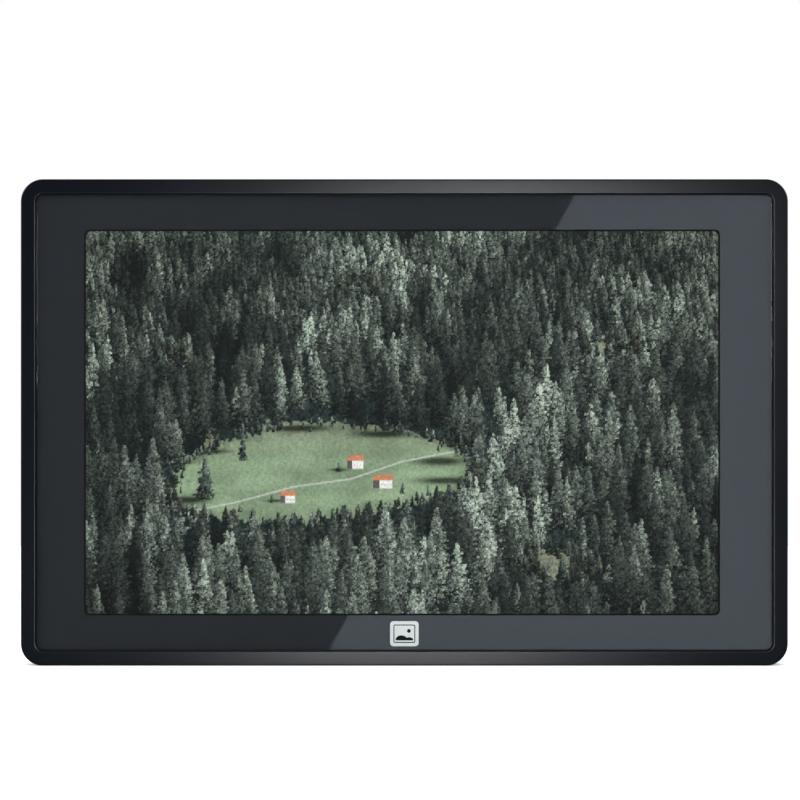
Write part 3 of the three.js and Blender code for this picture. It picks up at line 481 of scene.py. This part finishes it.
def closePiece(piece, finish, body="case", replaced=(), angle=32):
    bpy.ops.mesh.select_all(action="SELECT")
    bpy.ops.mesh.remove_doubles(threshold=hair)
    bpy.ops.mesh.normals_make_consistent(inside=False)
    bpy.ops.object.mode_set(mode="OBJECT")
    smoothPiece(piece, angle)
    if not piece.data.materials:
        piece.data.materials.append(finish)
    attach(piece, body)
    if replaced:
        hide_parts(*replaced)
    return piece


def smoothPiece(piece, angle):
    deselectAll()
    piece.select_set(True)
    bpy.context.view_layer.objects.active = piece
    bpy.ops.object.shade_smooth_by_angle(angle=math.radians(angle))
    even = piece.modifiers.new("evenShading", "WEIGHTED_NORMAL")
    even.keep_sharp = True
    bpy.ops.object.modifier_apply(modifier=even.name)


def refineNode(node, name, slotName, body="case", bevel=0.15, steps=2, angle=32):
    source = frame["nodes"][node]
    deselectAll()
    source.select_set(True)
    bpy.context.view_layer.objects.active = source
    bpy.ops.object.duplicate()
    piece = bpy.context.object
    piece.parent = None
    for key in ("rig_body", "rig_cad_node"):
        if key in piece:
            del piece[key]
    piece.name = piece.data.name = name
    bpy.ops.object.mode_set(mode="EDIT")
    bpy.ops.mesh.select_all(action="SELECT")
    bpy.ops.mesh.remove_doubles(threshold=hair)
    bpy.ops.mesh.dissolve_limited(angle_limit=math.radians(0.5))
    bpy.ops.object.mode_set(mode="OBJECT")
    if bevel:
        soft = piece.modifiers.new("softEdges", "BEVEL")
        soft.width = bevel * mm
        soft.segments = steps
        soft.limit_method = "ANGLE"
        soft.angle_limit = math.radians(40)
        bpy.ops.object.modifier_apply(modifier=soft.name)
    smoothPiece(piece, angle)
    piece.data.materials.clear()
    piece.data.materials.append(finishes[slotName])
    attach(piece, body)
    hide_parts(node)
    return piece


# front rim
rim = {
    "corner": 7.6 * mm, "skirt": 8 * mm, "face": 5 * mm, "edge": 0.5 * mm, "chamfer": 0.35 * mm,
    "wall": 2 * mm, "ledge": 2.7 * mm, "ledgeBack": 4.2 * mm, "lip": 0.2 * mm,
    "window": (229.8 * mm, 144.6 * mm), "shift": -0.8 * mm,
}


def withinRim(at, spare):
    wide, tall = caseWidth / 2 - rim["face"] + spare, caseHeight / 2 - rim["face"] + spare
    return abs(at.x) < wide and abs(at.z - midZ) < tall


def makeRim():
    start = (0, frontY + rim["skirt"], midZ)
    piece = startPlate("frontRim", caseWidth, caseHeight, rim["corner"], start, steps=18)
    raiseFace(rim["edge"] - rim["skirt"])
    roundOver(rim["edge"], 7)
    insetFace(rim["face"] - rim["edge"] - rim["chamfer"])
    insetFace(rim["chamfer"] * 0.45, -rim["chamfer"] * 0.2)
    insetFace(rim["chamfer"] * 0.55, -rim["chamfer"] * 0.8)
    raiseFace(rim["ledge"] - rim["chamfer"])
    opening = (caseWidth - 2 * rim["face"], caseHeight - 2 * rim["face"])
    shrinkFace(opening, rim["window"], rim["shift"])
    raiseFace(rim["ledgeBack"] - rim["ledge"] - rim["lip"])
    dropFace()
    backY = frontY + rim["skirt"]
    pickFaces(piece, lambda at, normal, face: abs(at.y - backY) < 0.1 * mm and len(face.verts) > 20)
    insetFace(rim["wall"])
    raiseFace(rim["ledgeBack"] - rim["skirt"])
    opening = (caseWidth - 2 * rim["wall"], caseHeight - 2 * rim["wall"])
    shrinkFace(opening, rim["window"], rim["shift"])
    dropFace()
    bpy.ops.mesh.select_mode(type="EDGE")
    bpy.ops.mesh.select_non_manifold(extend=False)
    bpy.ops.mesh.bridge_edge_loops()
    for colour in ("rim_lacquer", "black_ink", "rim_edge_highlight"):
        piece.data.materials.append(finishes[colour])

    def onLedge(at, normal, face):
        return at.y > frontY + rim["chamfer"] * 1.2 and withinRim(at, 0.1 * mm)

    # the chamfer's first facet, which carries the painted edge highlight
    def onHighlightEdge(at, normal, face):
        shallow = frontY < at.y - 0.01 * mm < frontY + rim["chamfer"] * 0.3
        return shallow and normal.y < -0.7 and withinRim(at, 0.1 * mm + rim["chamfer"])

    for index, test in ((1, onLedge), (2, onHighlightEdge)):
        pickFaces(piece, test)
        piece.active_material_index = index
        bpy.ops.object.material_slot_assign()
    return closePiece(piece, None, replaced=["front_frame"])


# cover glass
glass = {"inset": 5.4 * mm, "corner": 2.3 * mm, "front": 0.3 * mm, "back": 1.9 * mm, "edge": 0.3 * mm}


def makeGlass():
    width, height = caseWidth - 2 * glass["inset"], caseHeight - 2 * glass["inset"]
    piece = startPlate("coverGlass", width, height, glass["corner"], (0, frontY + glass["back"], midZ))
    raiseFace(glass["front"] + glass["edge"] - glass["back"])
    roundOver(glass["edge"], 4)
    return closePiece(piece, finishes["clear_glass"], replaced=["front_glass"])


# printed mask behind the glass, with a black line round the picture
mask = {
    "front": 2.05 * mm, "back": 2.2 * mm, "corner": 2.2 * mm, "picture": (217 * mm, 131.2 * mm),
    "line": 0.62 * mm, "shift": -0.8 * mm,
}


def makeMask():
    low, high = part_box("glass_mask")
    size = (high.x - low.x, high.z - low.z)
    piece = startPlate("printedMask", *size, mask["corner"], (0, frontY + mask["back"], midZ))
    raiseFace(mask["front"] - mask["back"])
    lined = tuple(side + 2 * mask["line"] for side in mask["picture"])
    shrinkFace(size, lined, mask["shift"])
    shrinkFace(lined, mask["picture"])
    raiseFace(mask["back"] - mask["front"])
    dropFace()
    backY = frontY + mask["back"]
    pickFaces(piece, lambda at, normal, face: abs(at.y - backY) < 0.01 * mm and len(face.verts) > 20)
    shrinkFace(size, mask["picture"], mask["shift"])
    dropFace()
    piece.data.materials.append(finishes["grey_ink"])
    piece.data.materials.append(finishes["black_ink"])

    def onLine(at, normal, face):
        x, z = abs(at.x - mask["shift"]), abs(at.z - midZ)
        return x < lined[0] / 2 - 0.1 * mm and z < lined[1] / 2 - 0.1 * mm and at.y < backY - 0.01 * mm

    pickFaces(piece, onLine)
    piece.active_material_index = 1
    bpy.ops.object.material_slot_assign()
    return closePiece(piece, None, replaced=["glass_mask"])


# the lit picture: a wooded hillside with a meadow and three houses, painted as a colour at each face corner
picture = {
    "columns": 792, "rows": 476,  # painted samples, twice the grid's faces
    "margin": 1 * mm,  # hidden behind the mask all round
    "seed": 41, "light": 1.14, "bushes": 420,
    "shade": (0.075, 0.095, 0.092), "needles": (0.56, 0.615, 0.57), "sunlit": (0.68, 0.72, 0.64),
    "grass": (0.52, 0.60, 0.485), "bank": (0.47, 0.49, 0.42), "window": (0.28, 0.26, 0.26),
    "track": (0.73, 0.76, 0.72), "roof": (0.81, 0.53, 0.40), "wall": (0.90, 0.90, 0.88),
    "foldsAcross": 14.0, "foldsDown": 7.0, "foldShade": 0.46, "foldLight": 0.52, "cornerDim": 0.35,
}
tree = {
    "rows": (0.0, 0.22, 0.42, 0.70, 1.0), "heights": (22, 30, 58, 60, 74),  # nearer ones are taller
    "slim": (0.15, 0.25),  # half the spread at the foot, as a share of the height
    "ragged": 0.26, "feathered": 0.14, "speckle": 0.24,
    "pitch": 0.31, "step": 0.27,  # the gaps between trees, as shares of their height
}


def softNoise(random, columns, rows, cell):
    across = int(np.ceil(columns / cell)) + 3
    down = int(np.ceil(rows / cell)) + 3
    grid = random.random((down, across))
    x = np.arange(columns) / cell
    y = np.arange(rows) / cell
    i, j = x.astype(int), y.astype(int)
    fx, fy = x - i, y - j
    fx, fy = fx * fx * (3 - 2 * fx), fy * fy * (3 - 2 * fy)
    top = grid[np.ix_(j, i)] * (1 - fx) + grid[np.ix_(j, i + 1)] * fx
    low = grid[np.ix_(j + 1, i)] * (1 - fx) + grid[np.ix_(j + 1, i + 1)] * fx
    return top * (1 - fy[:, None]) + low * fy[:, None]


def glow(u, v, u0, v0, spreadU, spreadV):
    return np.exp(-(((u - u0) / spreadU) ** 2) - ((v - v0) / spreadV) ** 2)


def inside(u, v, corners):
    hit = np.zeros(np.shape(u), bool)
    for (u0, v0), (u1, v1) in zip(corners, corners[1:] + corners[:1]):
        if v0 == v1:
            continue
        crosses = (v0 > v) != (v1 > v)
        hit ^= crosses & (u < (u1 - u0) * (v - v0) / (v1 - v0) + u0)
    return hit


def sunlight(u, v):
    folds = 0.5 + 0.5 * np.sin(picture["foldsAcross"] * u + picture["foldsDown"] * v)
    return np.clip(picture["foldShade"] + picture["foldLight"] * folds, 0.1, 1.0)


meadow = [(0.13, 0.69), (0.16, 0.60), (0.22, 0.54), (0.30, 0.51), (0.40, 0.50), (0.50, 0.52), (0.58, 0.56),
          (0.62, 0.61), (0.60, 0.67), (0.52, 0.71), (0.43, 0.74), (0.33, 0.76), (0.23, 0.75), (0.16, 0.73)]
clearings = [  # outline, brightness
    ([(0.78, 0.30), (0.82, 0.28), (0.87, 0.29), (0.86, 0.32), (0.80, 0.325)], 0.95),
    ([(0.68, 0.86), (0.72, 0.83), (0.78, 0.84), (0.80, 0.89), (0.74, 0.91)], 0.9),
    ([(0.10, 0.33), (0.14, 0.315), (0.17, 0.335), (0.13, 0.35)], 0.8),
    ([(0.40, 0.14), (0.45, 0.13), (0.47, 0.16), (0.42, 0.17)], 0.85),
]
meadowShades = [  # tree shadows on the grass: place, half length, half height
    (0.200, 0.575, 0.022, 0.006), (0.165, 0.700, 0.030, 0.008), (0.560, 0.600, 0.035, 0.010),
    (0.570, 0.650, 0.040, 0.008), (0.340, 0.515, 0.040, 0.008), (0.470, 0.530, 0.040, 0.008),
    (0.400, 0.622, 0.012, 0.003), (0.300, 0.702, 0.012, 0.003),
]
track = [(0.15, 0.735), (0.24, 0.705), (0.33, 0.665), (0.42, 0.645), (0.50, 0.600), (0.58, 0.575)]
houses = [(0.415, 0.600, 20, 10), (0.455, 0.650, 24, 10), (0.310, 0.690, 18, 9)]  # place, width, height
loneTrees = [  # place of the foot, height
    (0.25, 0.60, 34), (0.19, 0.70, 50), (0.54, 0.69, 13),
    (0.50, 0.685, 14), (0.295, 0.71, 12), (0.40, 0.63, 12),
]


def treeHeight(v):
    return np.interp(v, tree["rows"], tree["heights"])


def onOpenGround(u, v, height):
    if inside(u, v, meadow) or inside(u, v - 0.3 * height, meadow):
        return True
    return any(inside(u, v, corners) or inside(u, v - 0.4 * height, corners) for corners, _ in clearings)


def stampTree(canvas, random, x, base, height, light, tint):
    rows, columns = canvas.shape[:2]
    width = height * random.uniform(*tree["slim"])
    low, high = int(base - height), int(base)
    left, right = int(x - width - 3), int(x + width + 4)
    r0, r1, c0, c1 = max(low, 0), min(high, rows), max(left, 0), min(right, columns)
    if r0 >= r1 or c0 >= c1:
        return
    down = (np.arange(r0, r1)[:, None] - low) / height
    across = np.arange(c0, c1)[None, :] - x
    size = (r1 - r0, c1 - c0)
    ragged = random.normal(0, 1, (size[0] // 3 + 2, 2)).repeat(3, 0)[: size[0]]
    ragged = 1 + tree["ragged"] * np.where(across < 0, ragged[:, :1], ragged[:, 1:])
    spread = width * (0.05 + 0.95 * down ** random.uniform(0.65, 0.95)) * ragged + 0.4
    edge = np.abs(across) + random.normal(0, tree["feathered"] * width, size) * down
    shape = (edge < spread) & (random.random(size) < 1.25 - 0.5 * down ** 3)
    side = np.clip(across / np.maximum(spread, 0.5), -1, 1)
    clumps = random.normal(0, 1, (size[0] // 3 + 1, size[1] // 3 + 1)).repeat(3, 0).repeat(3, 1)
    clumps = clumps[: size[0], : size[1]]
    speckle = tree["speckle"] * (0.7 * clumps + random.normal(0, 1, size))
    bright = 0.44 + 0.24 * side + 0.22 * (1 - down) + speckle - 0.36 * down ** 2
    bright = np.clip(bright * light, 0, 1.25)[..., None]
    colour = np.array(picture["shade"]) * (1 - np.minimum(bright, 1)) + tint * bright
    patch = canvas[r0:r1, c0:c1]
    patch[shape] = colour[shape]


def plantTrees(canvas, random):
    rows, columns = canvas.shape[:2]
    needles, sunlit = np.array(picture["needles"]), np.array(picture["sunlit"])
    spots = []
    v = -0.01
    while v < 1.14:
        height = float(treeHeight(v))
        pitch = height * tree["pitch"]
        step = height * tree["step"] / rows
        x = random.uniform(-pitch, 0)
        while x < columns + pitch:
            spots.append((v + random.uniform(-0.8, 0.8) * step, x + random.uniform(-0.5, 0.5) * pitch))
            x += pitch * random.uniform(0.6, 1.4)
        v += step
    spots.sort()
    drift = softNoise(random, columns, rows, 60)
    patchy = softNoise(random, columns, rows, 22)
    for v, x in spots:
        u = x / columns
        height = float(treeHeight(v)) * random.uniform(0.5, 1.3)
        if onOpenGround(u, v, height / rows):
            continue
        row, column = int(np.clip(v, 0, 0.999) * rows), int(np.clip(u, 0, 0.999) * columns)
        light = float(sunlight(np.clip(u, 0, 1), np.clip(v - 0.5 * height / rows, 0, 1)))
        light *= 0.42 + 0.80 * drift[row, column] + 1.15 * (patchy[row, column] - 0.42)
        light *= random.uniform(0.55, 1.4)
        warm = random.random()
        tint = needles * (1 - 0.5 * warm) + sunlit * 0.5 * warm
        while height > 16 and inside(u, v - height / rows + 0.032, meadow):
            height *= 0.85  # the trees below the meadow leave it in view
        stampTree(canvas, random, x, v * rows, height, np.clip(light, 0.12, 1.45), tint)


def plantBushes(canvas, random):
    rows, columns = canvas.shape[:2]
    outlines = [meadow] * 4 + [corners for corners, _ in clearings]
    for count in range(picture["bushes"]):
        outline = outlines[count % len(outlines)]
        side = random.integers(len(outline))
        share = random.random()
        (u0, v0), (u1, v1) = outline[side - 1], outline[side]
        u = u0 + (u1 - u0) * share + random.normal(0, 0.006)
        v = v0 + (v1 - v0) * share + random.normal(0, 0.008)
        tint = np.array(picture["needles"] if random.random() < 0.6 else picture["bank"])
        height = random.uniform(6, 15 if outline is meadow else 32)
        light = random.uniform(0.4, 1.1)
        stampTree(canvas, random, u * columns, v * rows + 4, height, light, tint)


def paintGround(canvas, random):
    rows, columns = canvas.shape[:2]
    u, v = np.meshgrid((np.arange(columns) + 0.5) / columns, (np.arange(rows) + 0.5) / rows)
    grit = random.random((rows, columns))
    fine = softNoise(random, columns, rows, 3)
    broad = softNoise(random, columns, rows, 34)
    canvas[:] = np.array(picture["shade"]) * (0.85 + 2.2 * fine * broad + 0.9 * grit)[..., None]
    wobble = (softNoise(random, columns, rows, 12) - 0.5) * 0.030 + (fine - 0.5) * 0.016
    field = inside(u + wobble, v + wobble, meadow)
    ring = [(0.012 * math.cos(turn), 0.022 * math.sin(turn)) for turn in range(7)]
    openSky = sum(inside(u + wobble + a, v + wobble + b, meadow) * 1.0 for a, b in ring) / len(ring)
    upper = np.clip((0.60 - v) / 0.09, 0, 1)[..., None]
    turf = np.array(picture["grass"]) * (1 - 0.6 * upper) + np.array(picture["bank"]) * 0.6 * upper
    mown = 0.5 + 0.5 * np.sin(130 * v + 9 * u + 3 * broad)
    turf = turf * (0.80 + 0.20 * broad + 0.09 * fine + 0.06 * grit + 0.05 * mown)[..., None]
    turf = turf * (0.66 + 0.34 * openSky)[..., None]  # darker towards the trees
    canvas[field] = turf[field]
    for corners, bright in clearings:
        bare = inside(u + wobble, v + wobble * 0.6, corners)
        soil = np.array(picture["bank"]) * bright * 1.15
        canvas[bare] = (soil * (0.60 + 0.35 * fine + 0.35 * grit)[..., None])[bare]
    for x, y, long, tall in meadowShades:
        dark = inside(u, v, meadow) * glow(u, v, x, y, long, tall)
        canvas *= 1 - 0.6 * np.clip(1.3 * dark, 0, 1)[..., None]
    return u, v


def paintLine(canvas, points, colour, thickness):
    rows, columns = canvas.shape[:2]
    for (u0, v0), (u1, v1) in zip(points, points[1:]):
        steps = int(abs(u1 - u0) * columns * 3) + 2
        for k in np.linspace(0, 1, steps):
            x, y = (u0 + (u1 - u0) * k) * columns, (v0 + (v1 - v0) * k) * rows
            r = int(y)
            if 0 <= r < rows - 1 and 0 <= int(x) < columns:
                canvas[r, int(x)] = colour
                if thickness > 1:
                    canvas[r + 1, int(x)] = np.array(colour) * 0.93


def paintHouse(canvas, u, v, width, height):
    rows, columns = canvas.shape[:2]
    x, y = int(u * columns), int(v * rows)
    end = width // 3  # the shaded gable end at the left
    canvas[y : y + height, x : x + width] = picture["wall"]
    canvas[y : y + height, x : x + end] = np.array(picture["wall"]) * 0.38
    canvas[y + height // 2, x + end + 2 : x + width - 1 : 4] = picture["window"]
    for k in range(height // 2 + 2):
        left, right = x - 2 + k, x + width + 2 - k // 2
        canvas[y - k - 1, left:right] = np.array(picture["roof"]) * (0.92 + 0.03 * (k % 3))


def paintPicture():
    random = np.random.default_rng(picture["seed"])
    canvas = np.zeros((picture["rows"], picture["columns"], 3))
    u, v = paintGround(canvas, random)
    paintLine(canvas, track, picture["track"], 2)
    plantTrees(canvas, random)
    plantBushes(canvas, random)
    for house in houses:
        paintHouse(canvas, *house)
    needles = np.array(picture["needles"])
    for x, base, height in loneTrees:
        stampTree(canvas, random, x * picture["columns"], base * picture["rows"], height, 0.75, needles)
    dim = sum(glow(u, v, x, y, 0.16, 0.20) for x in (0, 1) for y in (0, 1))
    return np.clip(canvas * (1 - picture["cornerDim"] * dim)[..., None], 0, 1)


def makeDisplay():
    low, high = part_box("display_cell")
    width, height = (side + 2 * picture["margin"] for side in mask["picture"])
    deselectAll()
    bpy.ops.mesh.primitive_grid_add(
        x_subdivisions=picture["columns"] // 2, y_subdivisions=picture["rows"] // 2, size=1,
        location=(mask["shift"], low.y, midZ), rotation=(math.pi / 2, 0, 0))
    piece = bpy.context.object
    piece.name = piece.data.name = "litDisplay"
    piece.scale = (width, height, 1)
    bpy.ops.object.transform_apply(location=True, rotation=True, scale=True)
    canvas = paintPicture() ** 2.2 * picture["light"]
    mesh = piece.data
    at = np.empty(len(mesh.vertices) * 3, np.float32)
    mesh.vertices.foreach_get("co", at)
    at = at.reshape(-1, 3)
    corners = np.empty(len(mesh.loops), np.int32)
    mesh.loops.foreach_get("vertex_index", corners)
    u = (at[corners, 0] - mask["shift"]) / width + 0.5
    v = 0.5 - (at[corners, 2] - midZ) / height
    u, v = (0.5 * side + 0.5 * np.repeat(side.reshape(-1, 4).mean(1), 4) for side in (u, v))
    column = np.clip((u * picture["columns"]).astype(int), 0, picture["columns"] - 1)
    row = np.clip((v * picture["rows"]).astype(int), 0, picture["rows"] - 1)
    colours = np.ones((len(corners), 4), np.float32)
    colours[:, :3] = canvas[row, column]
    bpy.ops.object.mode_set(mode="EDIT")
    bpy.ops.mesh.select_all(action="SELECT")
    bpy.ops.mesh.region_to_loop()
    bpy.ops.mesh.extrude_edges_move(TRANSFORM_OT_translate={"value": (0, 0, 0)})
    bpy.ops.transform.resize(value=((high.x - low.x) / width, 1, (high.z - low.z) / height))
    bpy.ops.mesh.extrude_edges_move(TRANSFORM_OT_translate={"value": (0, high.y - low.y, 0)})
    bpy.ops.mesh.edge_face_add()
    bpy.ops.object.mode_set(mode="OBJECT")
    dark = np.zeros((len(mesh.loops), 4), np.float32)
    dark[: len(colours)] = colours
    painting = mesh.color_attributes.new("painting", "FLOAT_COLOR", "CORNER")
    painting.data.foreach_set("color", dark.ravel())
    bpy.ops.object.mode_set(mode="EDIT")
    bpy.ops.mesh.select_all(action="SELECT")
    bpy.ops.mesh.normals_make_consistent(inside=False)
    bpy.ops.object.mode_set(mode="OBJECT")
    piece.data.materials.append(finishes["screen"])
    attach(piece, "case")
    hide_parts("display_cell")
    return piece


# picture sign printed under the display
badge = {
    "corner": 1.2 * mm, "ink": 0.011 * mm, "line": 0.34 * mm, "border": 1.15 * mm,
    "sun": (1.55 * mm, 0.95 * mm, 0.66 * mm), "foot": -2.3 * mm, "sideGap": 1.9 * mm,
    "hills": ((-1.0 * mm, -2.9 * mm, 2.35 * mm), (1.75 * mm, -2.9 * mm, 1.7 * mm)),
}


def inkPlate(size, corner, middle, front, colour):
    piece = startPlate("signLayer", *size, corner, (middle[0], front + badge["ink"], middle[1]), steps=5)
    raiseFace(-badge["ink"])
    bpy.ops.object.mode_set(mode="OBJECT")
    piece.data.materials.append(finishes[colour])
    return piece


def inkDisc(x, z, radius, front, colour):
    deselectAll()
    spot = (x, front + badge["ink"] / 2, z)
    bpy.ops.mesh.primitive_cylinder_add(
        vertices=40, radius=radius, depth=badge["ink"], location=spot, rotation=(math.pi / 2, 0, 0))
    disc = bpy.context.object
    disc.data.materials.append(finishes[colour])
    bpy.ops.object.transform_apply(location=True, rotation=True, scale=True)
    return disc


def cutBelow(piece, place, direction):
    deselectAll()
    piece.select_set(True)
    bpy.context.view_layer.objects.active = piece
    bpy.ops.object.mode_set(mode="EDIT")
    bpy.ops.mesh.select_all(action="SELECT")
    bpy.ops.mesh.bisect(
        plane_co=place, plane_no=direction, use_fill=True, clear_inner=True, threshold=hair / 2)
    bpy.ops.object.mode_set(mode="OBJECT")


def makeBadge():
    low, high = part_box("front_badge")
    x, z = (low.x + high.x) / 2, (low.z + high.z) / 2
    wide, tall = high.x - low.x, high.z - low.z
    fronts = [low.y + badge["ink"] * layer for layer in range(4)]
    base = startPlate("pictureSign", wide, tall, badge["corner"], (x, high.y, z), steps=6)
    raiseFace(fronts[3] - high.y)
    bpy.ops.object.mode_set(mode="OBJECT")
    base.data.materials.append(finishes["silver_ink"])
    shapes = [base]
    border, line = badge["border"], badge["line"]
    for layer, colour, inset in ((2, "black_ink", border), (1, "silver_ink", border + line)):
        size = (wide - 2 * inset, tall - 2 * inset)
        corner = max(badge["corner"] - 0.6 * inset, 0.2 * mm)
        shapes.append(inkPlate(size, corner, (x, z), fronts[layer], colour))
    sunX, sunZ, sunSize = badge["sun"]
    shapes.append(inkDisc(x + sunX, z + sunZ, sunSize, fronts[0], "black_ink"))
    for hillX, hillZ, radius in badge["hills"]:
        hill = inkDisc(x + hillX, z + hillZ, radius, fronts[0], "black_ink")
        cutBelow(hill, (0, 0, z + badge["foot"]), (0, 0, 1))
        cutBelow(hill, (x - wide / 2 + badge["sideGap"], 0, 0), (1, 0, 0))
        cutBelow(hill, (x + wide / 2 - badge["sideGap"], 0, 0), (-1, 0, 0))
        shapes.append(hill)
    deselectAll()
    for shape in shapes:
        shape.select_set(True)
    bpy.context.view_layer.objects.active = base
    bpy.ops.object.join()
    bpy.ops.object.mode_set(mode="EDIT")
    return closePiece(base, None, replaced=["front_badge"])


# buttons on the back, with a dished cap and a small symbol
button = {
    "height": 4.4 * mm, "flange": 0.7 * mm, "edge": 0.35 * mm, "rim": 0.25 * mm, "dish": 0.16 * mm,
    "slopes": ((0.25 * mm, 0.7), (0.35 * mm, 0.3)),  # width, share of the dish's depth
    "line": 0.32 * mm, "ring": 1.0 * mm, "tip": 1.15 * mm, "thick": 0.16 * mm, "sunk": 0.06 * mm,
}
symbols = {  # kind, place across and up in mm, then width and height in mm or a turn in degrees
    "power": [("ring", 0, -0.1), ("bar", 0, 0.75, 0.34, 1.1)],
    "menu": [("bar", 0, 0.8, 2.6, 0.32), ("bar", 0, 0, 2.6, 0.32), ("bar", 0, -0.8, 2.6, 0.32)],
    "previous": [("tip", 0.15, 0, 90)],
    "select": [("ring", 0, 0)],
    "next": [("tip", -0.15, 0, -90)],
}


def addSymbol(kind, x, z, top, *shape):
    thick = button["thick"]
    place = (x, top - thick / 2, z)
    if kind == "ring":
        bpy.ops.mesh.primitive_torus_add(
            major_radius=button["ring"], minor_radius=button["line"] / 2,
            major_segments=32, minor_segments=8,
            location=(x, top - button["line"] / 2, z), rotation=(math.pi / 2, 0, 0))
    elif kind == "bar":
        size = (shape[0] * mm, thick, shape[1] * mm)
        bpy.ops.mesh.primitive_cube_add(size=1, location=place, scale=size)
    else:
        turn = (math.pi / 2, math.radians(shape[0]), 0)
        bpy.ops.mesh.primitive_cone_add(
            vertices=3, radius1=button["tip"], radius2=button["tip"], depth=thick,
            location=place, rotation=turn)


def makeButton(name):
    low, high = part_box(name + "_button")
    x, z = (low.x + high.x) / 2, (low.z + high.z) / 2
    wide, tall = high.x - low.x, high.z - low.z
    piece = startPlate(name + "Cap", wide, tall, tall * 0.48, (x, low.y, z), facing=1, steps=12)
    piece.data.materials.append(finishes["button_plastic"])
    piece.data.materials.append(finishes["silver_ink"])
    raiseFace(button["flange"])
    insetFace((tall - button["height"]) / 2)
    raiseFace(high.y - low.y - button["flange"] - button["edge"])
    roundOver(button["edge"], 5)
    insetFace(button["rim"])
    for width, share in button["slopes"]:
        insetFace(width, -button["dish"] * share)
    for kind, across, up, *shape in symbols[name]:
        bpy.ops.mesh.select_all(action="DESELECT")
        addSymbol(kind, x + across * mm, z + up * mm, high.y - button["sunk"], *shape)
        piece.active_material_index = 1
        bpy.ops.object.material_slot_assign()
    return closePiece(piece, None, name + "_key", [name + "_button"])


# lights that only the front pieces answer to
rimGlow = {
    "size": (110 * mm, 24 * mm), "away": 300 * mm,
    "top": (35 * mm, 150 * mm, 0.67), "bottom": (2 * mm, 20 * mm, 0.78),
}
glare = {
    "away": 1.7, "edge": 16.4 * mm, "lean": (0.474, 0.880), "width": 0.5, "length": 0.7, "along": 0.03,
    "power": 1.5, "colour": (0.89, 1.02, 1.17),
}


def lightRim(piece):
    for name in ("top", "bottom"):
        x, z, power = rimGlow[name]
        spot = (x, frontY - rimGlow["away"], z)
        light = softLight(name + "RimLight", spot, (x, frontY, z), *rimGlow["size"], power)
        onlyLights(light, [piece])


def lightMask(piece):
    lean = Vector((glare["lean"][0], 0, glare["lean"][1]))
    across = Vector((lean.z, 0, -lean.x))
    axis = Vector((view["across"], 0, midZ + view["above"]))
    onGlass = Vector((glare["edge"], 0, midZ))
    grow = 1 + glare["away"] / view["distance"]
    middle = axis + (onGlass - axis) * grow + across * glare["width"] / 2 + lean * glare["along"]
    middle.y = frontY - glare["away"]
    bpy.ops.object.light_add(type="AREA", location=middle)
    light = bpy.context.object
    light.name = "glareCard"
    light.data.shape = "RECTANGLE"
    light.data.size, light.data.size_y = glare["width"], glare["length"]
    light.data.energy = glare["power"]
    light.data.color = glare["colour"]
    light.visible_camera = False
    light.rotation_euler = (math.pi / 2, math.atan2(lean.x, lean.z), 0)
    onlyLights(light, [piece])


placeCamera()
placeStudio()
finishes = makeFinishes()
dressCadNodes()
print("finishes:", len(finishes))
rimPiece = makeRim()
makeGlass()
maskPiece = makeMask()
makeBadge()
print("front modelled")
makeDisplay()
print("display painted")
for name in symbols:
    makeButton(name)
refineNode("rear_cover", "rearCover", "cover_plastic", bevel=0.2)
refineNode("stand_leg", "standLeg", "leg_plastic", body="leg", bevel=0.3)
refineNode("leg_pad", "legPad", "rubber_black", body="leg", bevel=0.35, steps=3)
refineNode("hinge_pin", "hingePin", "zinc_steel", bevel=0.2)
for side in ("left", "right"):
    refineNode(f"foot_strip_{side}", f"{side}Foot", "rubber_black", bevel=0.25, steps=3)
for count in range(1, 6):
    refineNode(f"case_screw_{count}", f"caseScrew{count}", "zinc_steel", bevel=0.06)
print("back modelled")
lightRim(rimPiece)
lightMask(maskPiece)
